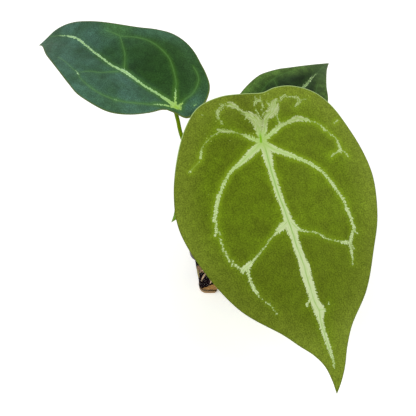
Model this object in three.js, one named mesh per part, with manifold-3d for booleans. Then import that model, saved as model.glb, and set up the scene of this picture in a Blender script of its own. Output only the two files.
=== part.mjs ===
// A young Anthurium forgetii with four leaves in a square clear nursery pot.
// Millimetres, +Z up. The origin is the middle of the pot's underside, on the surface it stands on.
// The plant faces -Y: the big front leaf hangs down towards that side.

import * as THREE from 'three';
import { mergeVertices } from 'three/addons/utils/BufferGeometryUtils.js';
import Module from 'manifold-3d';

const wasm = await Module();
wasm.setup();

const gap = 0.3; // clear space between neighbouring pieces
const past = 1; // how far a cutting body runs past the face it cuts
const bladeThickness = 0.9;
const up = new THREE.Vector3(0, 0, 1);

const pot = {
  height: 50,
  baseHalf: 24.2, // half the width across the foot
  wallTopHalf: 28.2, // half the width where the wall meets the rim
  rimHalf: 30.2,
  rimDrop: 6, // height of the rim band
  baseCorner: 5, // corner radii, in plan
  rimCorner: 8,
  wall: 1.2,
  floor: 1.6,
};

// A drainage pocket is pressed up into the foot of each wall, which leaves four corner feet.
const pocket = { widthAtFoot: 29, widthAtTop: 23, height: 5, depth: 8 };
const slot = { width: 11, height: 2.4, rise: 1.9, depth: 7 }; // drain in the back of each pocket

// Bark mix. A chip's width and thickness are shares of its length, given as least and most.
const mix = {
  level: 43.5,
  sideGap: 0.4,
  chips: 62,
  chipLength: [2.6, 5.2],
  chipWidth: [0.5, 0.8],
  chipThickness: [0.34, 0.6],
  chipTilt: [-0.45, 0.45],
  chipRise: [0.4, 1.6], // of a chip's middle over the mix
  seed: 7,
};

const stem = { x: -10, y: 2, foot: 33 };
const stemSides = 14;
const stemProfile = [ // radius and height over the stem's foot, with a bulge at each old leaf scar
  [0, 0], [3.2, 0.5], [4.6, 4], [4.9, 9], [4.5, 13], [4.7, 15], [4.2, 19], [4.5, 22],
  [4.2, 26], [3.4, 28.4], [0, 29],
];

// Dry pointed scales round the top of the stem: turn about it, height, and lean outwards.
const dryScales = { radius: 2.6, flatness: 0.32, sides: 7, fromAxis: 4.2, foot: 48.5 };
const dryScalePlaces = [[-2.2, 16, 0.22], [0.7, 13, 0.3], [2.9, 15, 0.25]];

const petiole = { radius: 1.05, footSwell: 1.5, headSwell: 1.35, knob: 1.7, steps: 18, sides: 8 };
const root = { radius: 0.9, steps: 14, sides: 6 };

// Outlines are seen from above the blade: first value along the midrib towards the tip,
// second value across it, both measured from the point where the leaf stalk joins.
// The points go round from the tip, first along the side where the second value is above zero.
const leaves = {
  front: {
    junction: [12, -2.5, 124],
    tip: [54.1, -115.1, 37],
    roll: 3.3, // degrees about the midrib
    arch: 11.7, // rise of the midrib over the straight line from junction to tip
    fold: 0, // rise of both halves towards the margins
    curl: 6, // drop of the margins
    twist: 0,
    waves: 5,
    waveHeight: 0.9,
    rings: 7,
    perPoint: 2,
    outline: [
      [148.5, 0], [142, 4], [134, 8], [124, 12], [113, 18.2], [97, 32], [76, 43.5], [60, 51.5],
      [38, 57.5], [23, 57.5], [5, 54], [-10, 49], [-20, 41.5], [-27, 29], [-28.5, 18.5], [-27.5, 11],
      [-30, 0], [-32, -13], [-29.5, -27], [-21, -37], [-6, -47], [16, -56], [35, -58.7], [60, -53],
      [87, -40.2], [107, -21.2], [115, -14.6], [123, -7.6], [131, -3], [140, -0.8],
    ],
    petiole: [[-7.7, 0.9, 58], [-5, 1.5, 76], [2.5, 4, 94], [9.2, 3.4, 109]],
    colour: 0x6f8526,
  },
  left: {
    junction: [-36.7, 29.8, 118],
    tip: [-126.4, 94.3, 108],
    roll: 0,
    arch: 15,
    fold: 12,
    curl: 6,
    twist: 14,
    waves: 4,
    waveHeight: 0.7,
    rings: 7,
    perPoint: 2,
    outline: [
      [111, 0], [106.5, 1.5], [94, 10], [79, 18], [57, 28.5], [46, 32.5], [27, 33.5], [19, 31],
      [12, 25.5], [7, 18], [3.5, 8], [-1, 4.5], [-7, 1], [-9, -8], [-9, -17], [-6, -25], [-1, -29],
      [5, -32], [12.5, -35.5], [20.5, -37], [28.5, -36], [37, -32], [46.5, -26.5], [57, -22.5],
      [80, -17.5], [91, -15.6], [99, -13.4], [105, -10], [108.2, -5.2],
    ],
    petiole: [[-12.3, 3.8, 58], [-21, 11.5, 73], [-30.5, 20.5, 88], [-34.7, 26.2, 98.5], [-36.3, 28.8, 107]],
    colour: 0x2f4a2c,
  },
  back: {
    junction: [11.5, 34.2, 96],
    tip: [61.7, 101.1, 86],
    roll: 8,
    arch: 10,
    fold: 6,
    curl: 5,
    twist: 0,
    waves: 4,
    waveHeight: 0.6,
    rings: 6,
    perPoint: 2,
    outline: [
      [84.2, 0], [76.5, 1], [65, 4.5], [51.5, 10.6], [42.5, 15.8], [35, 19], [28.5, 21], [16, 22],
      [4, 21], [-5, 17.5], [-12, 11], [-14, 3], [-13, -5], [-12, -14], [-5, -22], [7, -27],
      [19, -28.5], [31, -27], [41.5, -22.7], [52.5, -15], [62, -9.6], [73, -4.2],
    ],
    petiole: [[-7.9, 4.4, 58], [-5, 9, 71], [2.5, 20, 84], [9, 30, 91.5]],
    colour: 0x3a5a34,
  },
  small: {
    junction: [-13.2, -2, 100],
    tip: [-39.9, -26.5, 80],
    roll: 0,
    arch: 5,
    fold: 2,
    curl: 3,
    twist: 0,
    waves: 3,
    waveHeight: 0.4,
    rings: 6,
    perPoint: 2,
    outline: [
      [41.5, 0], [37.5, 2.6], [31, 6], [23, 10.5], [13, 14.5], [3, 15], [-6, 11.5], [-9.5, 5],
      [-9, -1], [-9, -6.5], [-4, -12], [5, -14.5], [14, -13.5], [24, -9], [31, -4.5], [37, -1.2],
    ],
    petiole: [[-12.2, -0.2, 57], [-13.4, -2.8, 70], [-13.8, -3.6, 84], [-13.4, -2.4, 92]],
    colour: 0x5f8a26,
  },
};

// Routes of the thick roots, from the stem's foot through the mix and down the inside of the walls.
const roots = [
  [[-11, 1, 38], [-15, -8, 36], [-19, -17, 31], [-21.5, -20.5, 25], [-19, -22.2, 18], [-13, -21.9, 12]],
  [[-9, 1, 37], [1, -10, 35], [8, -19, 31], [12, -23, 25], [8, -22.4, 17], [-1, -21.6, 9.5]],
  [[-8, 3, 38], [7, 4, 36], [19, 7, 32], [23.2, 10, 26], [22.5, 4, 17], [21.4, -4, 10.5]],
  [[-11, 4, 37], [-11, 14, 35], [-10, 22, 31], [-7, 23.1, 25], [0, 22.4, 17], [6, 21.6, 10]],
];

// Geometry with shared vertices, as a solid that can be joined and cut.
function toSolid(geometry) {
  const plain = geometry.clone();
  for (const name of ['normal', 'uv', 'uv1', 'color']) plain.deleteAttribute(name);
  const merged = mergeVertices(plain, 1e-4);
  return new wasm.Manifold(new wasm.Mesh({
    numProp: 3,
    vertProperties: new Float32Array(merged.attributes.position.array),
    triVerts: new Uint32Array(merged.index.array),
  }));
}

function toGeometry(solid) {
  const mesh = solid.getMesh();
  const geometry = new THREE.BufferGeometry();
  geometry.setAttribute('position', new THREE.BufferAttribute(mesh.vertProperties, mesh.numProp));
  geometry.setIndex(new THREE.BufferAttribute(mesh.triVerts, 1));
  geometry.computeVertexNormals();
  return geometry;
}

// The largest body of a cut solid, without the loose scraps.
function mainBody(solid) {
  const bodies = solid.decompose();
  return bodies.reduce((best, body) => (body.volume() > best.volume() ? body : best));
}

// A source of random numbers between two limits that are the same on every run.
function seededRandom(seed) {
  const modulus = 2 ** 32;
  let state = seed;
  return ([least, most]) => {
    state = (state * 1664525 + 1013904223) % modulus;
    return least + (most - least) * state / modulus;
  };
}

function roundedSquareRing(half, corner, z, perCorner = 5) {
  const ring = [];
  for (let quarter = 0; quarter < 4; quarter++) {
    for (let i = 0; i < perCorner; i++) {
      const angle = (quarter + i / (perCorner - 1)) * Math.PI / 2;
      const cx = [1, -1, -1, 1][quarter] * (half - corner);
      const cy = [1, 1, -1, -1][quarter] * (half - corner);
      ring.push(new THREE.Vector3(cx + corner * Math.cos(angle), cy + corner * Math.sin(angle), z));
    }
  }
  return ring;
}

// A closed body through a stack of rings with the same number of points, lowest first.
function stackRings(rings) {
  const count = rings[0].length;
  const points = rings.flat();
  const index = [];
  for (let r = 0; r < rings.length - 1; r++) {
    for (let i = 0; i < count; i++) {
      const a = r * count + i;
      const b = r * count + (i + 1) % count;
      index.push(a, b, b + count, a, b + count, a + count);
    }
  }
  const top = (rings.length - 1) * count;
  for (let i = 1; i < count - 1; i++) {
    index.push(0, i + 1, i);
    index.push(top, top + i, top + i + 1);
  }
  const geometry = new THREE.BufferGeometry().setFromPoints(points);
  geometry.setIndex(index);
  return geometry;
}

function wallHalf(z) {
  return THREE.MathUtils.lerp(pot.baseHalf, pot.wallTopHalf, z / (pot.height - pot.rimDrop));
}

function cornerRadius(z) {
  return THREE.MathUtils.lerp(pot.baseCorner, pot.rimCorner, z / pot.height);
}

// The space inside the walls, drawn in by an inset, between two heights.
function innerSpace(inset, bottom, top) {
  const rings = [bottom, top].map((z) => {
    const half = wallHalf(z) - pot.wall - inset;
    return roundedSquareRing(half, cornerRadius(z) - pot.wall, z);
  });
  return toSolid(stackRings(rings));
}

// The four drainage pockets, each side moved out by grow.
function pockets(grow) {
  const foot = pocket.widthAtFoot / 2 + grow;
  const top = pocket.widthAtTop / 2 + grow;
  const outline = new THREE.Shape([
    new THREE.Vector2(-foot, -past),
    new THREE.Vector2(foot, -past),
    new THREE.Vector2(top, pocket.height + grow),
    new THREE.Vector2(-top, pocket.height + grow),
  ]);
  const outside = pot.rimHalf + past;
  const inside = pot.baseHalf - pocket.depth - grow;
  const bar = new THREE.ExtrudeGeometry(outline, { depth: outside - inside, bevelEnabled: false });
  bar.rotateX(Math.PI / 2);
  bar.translate(0, -inside, 0);
  return fourSides(bar);
}

function fourSides(geometry) {
  let all = null;
  for (let side = 0; side < 4; side++) {
    const turned = toSolid(geometry.clone().rotateZ(side * Math.PI / 2));
    all = all ? all.add(turned) : turned;
  }
  return all;
}

function makePot() {
  const bandFoot = pot.height - pot.rimDrop;
  const outer = toSolid(stackRings([
    roundedSquareRing(pot.baseHalf, pot.baseCorner, 0),
    roundedSquareRing(wallHalf(bandFoot - 1), cornerRadius(bandFoot), bandFoot - 1),
    roundedSquareRing(pot.rimHalf - 0.4, pot.rimCorner, bandFoot),
    roundedSquareRing(pot.rimHalf, pot.rimCorner, pot.height - 0.8),
    roundedSquareRing(pot.rimHalf - 0.6, pot.rimCorner, pot.height),
  ]));
  const cavity = innerSpace(0, pot.floor, pot.height + past).subtract(pockets(pot.wall));
  const drain = new THREE.BoxGeometry(slot.width, slot.depth, slot.height);
  drain.translate(0, -(pot.baseHalf - pocket.depth), slot.rise + slot.height / 2);
  return outer.subtract(pockets(0)).subtract(cavity).subtract(fourSides(drain));
}

// A piece of bark: an uneven lump, flattened and turned at random.
function barkChip(random) {
  const lump = new THREE.IcosahedronGeometry(1, 0);
  const length = random(mix.chipLength);
  lump.scale(length, length * random(mix.chipWidth), length * random(mix.chipThickness));
  lump.rotateX(random(mix.chipTilt));
  lump.rotateY(random(mix.chipTilt));
  lump.rotateZ(random([0, 2 * Math.PI]));
  return lump;
}

function tube(route, radius, { steps, sides }) {
  const curve = new THREE.CatmullRomCurve3(route.map((p) => new THREE.Vector3(...p)));
  const section = new THREE.Shape();
  section.absarc(0, 0, radius, 0, 2 * Math.PI);
  const settings = { steps, bevelEnabled: false, extrudePath: curve, curveSegments: sides / 2 };
  const geometry = new THREE.ExtrudeGeometry(section, settings);
  return { geometry, centres: curve.getSpacedPoints(steps) };
}

// Makes a tube thicker or thinner along its length, by a factor for each step.
function taper({ geometry, centres }, factorAt) {
  const position = geometry.attributes.position;
  const point = new THREE.Vector3();
  for (let i = 0; i < position.count; i++) {
    point.fromBufferAttribute(position, i);
    let nearest = 0;
    centres.forEach((centre, k) => {
      if (point.distanceTo(centre) < point.distanceTo(centres[nearest])) nearest = k;
    });
    const factor = factorAt(nearest / (centres.length - 1));
    point.sub(centres[nearest]).multiplyScalar(factor).add(centres[nearest]);
    position.setXYZ(i, point.x, point.y, point.z);
  }
  return geometry;
}

// Thicker towards the sheathed foot and just under the blade.
function petioleFactor(along) {
  const foot = (petiole.footSwell - 1) * (1 - THREE.MathUtils.smoothstep(along, 0, 0.45));
  const head = (petiole.headSwell - 1) * THREE.MathUtils.smoothstep(along, 0.8, 0.97);
  return 1 + foot + head;
}

function petioleSolid(leaf, extra) {
  const frame = leafFrame(leaf);
  const reach = bladeThickness + gap + petiole.knob;
  const head = frame.junction.clone().addScaledVector(frame.seat, -reach);
  const route = [...leaf.petiole, head.toArray()];
  const stalk = tube(route, petiole.radius + extra, petiole);
  const body = toSolid(taper(stalk, petioleFactor));
  const knob = new THREE.IcosahedronGeometry(petiole.knob, 1);
  knob.translate(head.x, head.y, head.z);
  return body.add(toSolid(knob));
}

// Stem and thick roots, grown as one piece.
function stemSolid(extra) {
  const points = stemProfile.map(([r, z]) => new THREE.Vector2(r > 0 ? r + extra : 0, z));
  points[0].y -= extra;
  points[points.length - 1].y += extra;
  const lathe = new THREE.LatheGeometry(points, stemSides);
  lathe.rotateX(Math.PI / 2);
  lathe.translate(stem.x, stem.y, stem.foot);
  let solid = toSolid(lathe);
  for (const route of roots) {
    solid = solid.add(toSolid(tube(route, root.radius + extra, root).geometry));
  }
  return solid;
}

function dryScale([turn, height, lean]) {
  const scale = new THREE.ConeGeometry(dryScales.radius, height, dryScales.sides);
  scale.scale(1, 1, dryScales.flatness);
  scale.rotateX(Math.PI / 2);
  scale.translate(0, 0, height / 2);
  scale.rotateX(lean);
  scale.translate(0, -dryScales.fromAxis, 0);
  scale.rotateZ(turn);
  scale.translate(stem.x, stem.y, dryScales.foot);
  return toSolid(scale);
}

function makeStem() {
  let solid = stemSolid(0);
  for (const place of dryScalePlaces) solid = solid.add(dryScale(place));
  for (const leaf of Object.values(leaves)) solid = solid.subtract(petioleSolid(leaf, gap));
  return mainBody(solid);
}

function makeMix() {
  let solid = innerSpace(mix.sideGap, pot.floor + gap, mix.level).subtract(pockets(pot.wall + gap));
  const random = seededRandom(mix.seed);
  const reach = wallHalf(mix.level) - pot.wall;
  for (let i = 0; i < mix.chips; i++) {
    const chip = barkChip(random);
    chip.translate(random([-reach, reach]), random([-reach, reach]), mix.level + random(mix.chipRise));
    solid = solid.add(toSolid(chip));
  }
  solid = solid.intersect(innerSpace(mix.sideGap, 0, pot.height));
  return mainBody(solid.subtract(stemSolid(gap)));
}

// Axes of a blade: along the midrib, across it and out of its upper face,
// with the direction square to the blade at the junction as seat.
function leafFrame(leaf) {
  const junction = new THREE.Vector3(...leaf.junction);
  const along = new THREE.Vector3(...leaf.tip).sub(junction);
  const length = along.length();
  along.normalize();
  const face = up.clone().addScaledVector(along, -up.dot(along)).normalize();
  face.applyAxisAngle(along, THREE.MathUtils.degToRad(leaf.roll));
  const across = new THREE.Vector3().crossVectors(face, along);
  const slope = 4 * leaf.arch / length;
  const seat = face.clone().addScaledVector(along, -slope).normalize();
  return { junction, length, along, across, face, seat };
}

const foldRound = 6; // half width of the rounded bottom of a folded blade
const halfBlade = 40; // half width at which fold and curl reach their stated rise

function bladeHeight(leaf, length, u, v) {
  const t = u / length;
  const arch = leaf.arch * 4 * t * (1 - t);
  const fold = leaf.fold * (Math.hypot(v, foldRound) - foldRound) / halfBlade;
  const curl = leaf.curl * (v / halfBlade) ** 2;
  const twist = leaf.twist * t * v / halfBlade;
  return arch + fold - curl - twist;
}

// Both faces have the same triangles, so the thin blade never crosses itself.
function makeBlade(leaf) {
  const frame = leafFrame(leaf);
  const corners = [...leaf.outline, leaf.outline[0]].map(([u, v]) => new THREE.Vector3(u, v, 0));
  const margin = new THREE.CatmullRomCurve3(corners, false, 'centripetal');
  const spokes = leaf.outline.length * leaf.perPoint;
  const facePoints = [new THREE.Vector2(0, 0)];
  const waves = [0];
  for (let ring = 1; ring <= leaf.rings; ring++) {
    const out = ring / leaf.rings;
    for (let k = 0; k < spokes; k++) {
      const edge = margin.getPoint(k / spokes);
      const swell = Math.sin(2 * Math.PI * leaf.waves * k / spokes);
      facePoints.push(new THREE.Vector2(edge.x * out, edge.y * out));
      waves.push(leaf.waveHeight * out ** 3 * swell);
    }
  }
  const place = (uv, wave, drop) => frame.junction.clone()
    .addScaledVector(frame.along, uv.x)
    .addScaledVector(frame.across, uv.y)
    .addScaledVector(frame.face, bladeHeight(leaf, frame.length, uv.x, uv.y) + wave - drop);
  const upper = facePoints.map((uv, i) => place(uv, waves[i], 0));
  const lower = facePoints.map((uv, i) => place(uv, waves[i], bladeThickness));
  const index = [];
  const count = facePoints.length;
  const addTriangle = (a, b, c) => {
    index.push(a, b, c);
    index.push(count + a, count + c, count + b);
  };
  for (let k = 0; k < spokes; k++) {
    const next = (k + 1) % spokes;
    addTriangle(0, 1 + k, 1 + next);
    for (let ring = 1; ring < leaf.rings; ring++) {
      const inner = 1 + (ring - 1) * spokes;
      const outer = inner + spokes;
      addTriangle(inner + k, outer + next, inner + next);
      addTriangle(inner + k, outer + k, outer + next);
    }
    const rim = 1 + (leaf.rings - 1) * spokes;
    index.push(rim + k, count + rim + next, rim + next);
    index.push(rim + k, count + rim + k, count + rim + next);
  }
  const geometry = new THREE.BufferGeometry().setFromPoints([...upper, ...lower]);
  geometry.setIndex(index);
  geometry.computeVertexNormals();
  return geometry;
}

function addPiece(group, name, geometry, colour, roughness) {
  const material = new THREE.MeshStandardMaterial({ color: colour, roughness, metalness: 0 });
  const mesh = new THREE.Mesh(geometry, material);
  mesh.name = name;
  group.add(mesh);
}

const plant = new THREE.Group();
addPiece(plant, 'pot', toGeometry(makePot()), 0xd8dcd8, 0.25);
addPiece(plant, 'potting_mix', toGeometry(makeMix()), 0x3a2a20, 0.95);
addPiece(plant, 'stem', toGeometry(makeStem()), 0x8a7a4a, 0.8);
for (const [name, leaf] of Object.entries(leaves)) {
  addPiece(plant, `petiole_${name}`, toGeometry(petioleSolid(leaf, 0)), 0x5c7a12, 0.5);
  addPiece(plant, `leaf_${name}`, makeBlade(leaf), leaf.colour, 0.6);
}

export default plant;
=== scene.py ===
import functools
import math
import bmesh
import bpy
import numpy as np
from mathutils import Euler, Matrix, Vector
from mathutils.geometry import delaunay_2d_cdt


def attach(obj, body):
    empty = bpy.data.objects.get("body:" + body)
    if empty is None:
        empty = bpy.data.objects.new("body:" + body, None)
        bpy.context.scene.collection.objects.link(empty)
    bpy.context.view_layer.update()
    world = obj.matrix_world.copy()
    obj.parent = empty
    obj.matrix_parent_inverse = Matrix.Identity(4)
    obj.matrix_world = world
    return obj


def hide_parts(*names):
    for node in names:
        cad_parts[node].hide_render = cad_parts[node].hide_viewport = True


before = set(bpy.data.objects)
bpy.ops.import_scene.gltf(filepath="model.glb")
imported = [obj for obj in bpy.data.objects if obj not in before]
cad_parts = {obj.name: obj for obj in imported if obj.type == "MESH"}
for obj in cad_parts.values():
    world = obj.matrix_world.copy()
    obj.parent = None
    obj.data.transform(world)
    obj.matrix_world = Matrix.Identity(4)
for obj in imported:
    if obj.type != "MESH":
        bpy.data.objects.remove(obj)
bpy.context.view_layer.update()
mm = 0.001
print("frame loaded:", len(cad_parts), "nodes")

# the view the photo was taken from: straight at the plant, from 52 degrees above
camera = {
    "aim": (-18.4, -16.0, 80.0),  # mm
    "elevation": 52.0,
    "distance": 560.0,
    "lens": 82.04,
    "near": 0.02, "far": 20,  # m
}

# white sweep under three big soft boxes, with even light from all round
studio = {
    "floorSize": 3.0,  # m
    "floorDrop": 0.0003,  # m, so that the pot's feet don't flicker in it
    "floorTone": "F4F4F2",
    "floorGlow": 0.5,  # the sweep is lit from behind too, so it stays white in the shadow
    "skyTone": "FFFFFF",
    "skyStrength": 0.5,
    "softBoxes": [  # place and aim in m, size in m, watts
        {"at": (-0.55, -0.55, 1.15), "aim": (0, 0, 0.06), "size": 0.8, "watts": 5.6},
        {"at": (0.75, -0.25, 0.95), "aim": (0, 0, 0.08), "size": 0.7, "watts": 3.0},
        {"at": (0.1, 0.9, 0.8), "aim": (0, 0, 0.08), "size": 0.6, "watts": 1.6},
    ],
}

# node settings that come up again and again
smooth = {"interpolation_type": "SMOOTHSTEP"}
inColour = {"data_type": "RGBA"}
darken = {"data_type": "RGBA", "blend_type": "MULTIPLY"}
times = {"operation": "MULTIPLY"}
plus = {"operation": "ADD"}
minus = {"operation": "SUBTRACT"}
larger = {"operation": "MAXIMUM"}


def srgb(text):
    # sRGB hex to the linear colour a shader takes
    parts = [int(text[i:i + 2], 16) / 255 for i in (0, 2, 4)]
    return [p / 12.92 if p <= 0.04045 else ((p + 0.055) / 1.055) ** 2.4 for p in parts] + [1.0]


def addNode(tree, kind, settings=None, *inputs):
    # settings are properties and named sockets; the rest goes to the open sockets in their order.
    # A socket takes a value, an sRGB hex colour, or the node or socket to plug in.
    node = tree.nodes.new(kind)
    named = {}
    for key, value in (settings or {}).items():
        if hasattr(node, key):
            setattr(node, key, value)
        else:
            named[key] = value
    openSockets = [socket for socket in node.inputs if socket.enabled]
    pairs = [(node.inputs[key], value) for key, value in named.items()] + list(zip(openSockets, inputs))
    for socket, value in pairs:
        if isinstance(value, bpy.types.Node):
            value = next(output for output in value.outputs if output.enabled)
        if isinstance(value, bpy.types.NodeSocket):
            tree.links.new(value, socket)
        elif isinstance(value, str) and socket.type == "RGBA":
            socket.default_value = srgb(value)
        elif value is not None:
            socket.default_value = value
    return node


def combined(add, operation, *parts):
    # numbers, nodes and smooth ramps, given as (value, from, to, result at from, result at to), worked
    # into one by the operation
    made = [add("MapRange", smooth, *part) if isinstance(part, tuple) else part for part in parts]
    return functools.reduce(lambda a, b: add("Math", operation, a, b), made)


def newMaterial(name):
    # an empty material, and what adds a node to it, lays one colour over another and ends it
    material = bpy.data.materials.new(name)
    material.use_nodes = True
    tree = material.node_tree
    tree.nodes.clear()

    def add(kind, *rest):
        return addNode(tree, "ShaderNode" + kind, *rest)

    def lay(below, above, *parts):
        # as strongly as the product of the parts says
        return add("Mix", inColour, combined(add, times, *parts), below, above)

    def finish(surface, relief=None, strength=1.0, depth=0.0):
        # the surface's values, and its relief with the depth in mm
        if relief is not None:
            surface["Normal"] = add("Bump", {"Strength": strength, "Distance": depth * mm, "Height": relief})
        add("OutputMaterial", {"Surface": add("BsdfPrincipled", surface)})
        return material

    return add, lay, finish


def addObject(name, data):
    made = bpy.data.objects.new(name, data)
    bpy.context.scene.collection.objects.link(made)
    return made


def placeCamera():
    rise = math.radians(camera["elevation"])
    away = Vector((0, -math.cos(rise), math.sin(rise))) * camera["distance"]
    data = bpy.data.cameras.new("studioCamera")
    data.lens = camera["lens"]
    data.sensor_width = 36
    data.clip_start, data.clip_end = camera["near"], camera["far"]
    eye = addObject("studioCamera", data)
    eye.location = (Vector(camera["aim"]) + away) * mm
    eye.rotation_euler = (math.pi / 2 - rise, 0, 0)
    bpy.context.scene.camera = eye


def paperMaterial():
    # plain matt backdrop paper, with hardly a shadow on it
    finish = newMaterial("white backdrop paper")[2]
    return finish({
        "Base Color": studio["floorTone"], "Roughness": 0.9, "Specular IOR Level": 0.1,
        "Emission Color": studio["floorTone"], "Emission Strength": studio["floorGlow"]})


def makeStudio():
    scene = bpy.context.scene
    scene.view_settings.view_transform = "Standard"
    world = bpy.data.worlds.new("whiteRoom")
    world.use_nodes = True
    sky = world.node_tree.nodes["Background"]
    sky.inputs["Color"].default_value = srgb(studio["skyTone"])
    sky.inputs["Strength"].default_value = studio["skyStrength"]
    scene.world = world
    for i, box in enumerate(studio["softBoxes"]):
        data = bpy.data.lights.new(f"softBox{i}", "AREA")
        data.energy = box["watts"]
        data.size = box["size"]
        lamp = addObject(f"softBox{i}", data)
        lamp.location = box["at"]
        aim = Vector(box["aim"]) - Vector(box["at"])
        lamp.rotation_euler = aim.to_track_quat("-Z", "Y").to_euler()
    half, drop = studio["floorSize"] / 2, studio["floorDrop"]
    data = bpy.data.meshes.new("floor")
    corners = [(x * half, y * half, -drop) for x, y in ((-1, -1), (1, -1), (1, 1), (-1, 1))]
    data.from_pydata(corners, [], [(0, 1, 2, 3)])
    data.materials.append(paperMaterial())
    floor = addObject("floor", data)


placeCamera()
makeStudio()
print("camera and studio ready")

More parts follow.
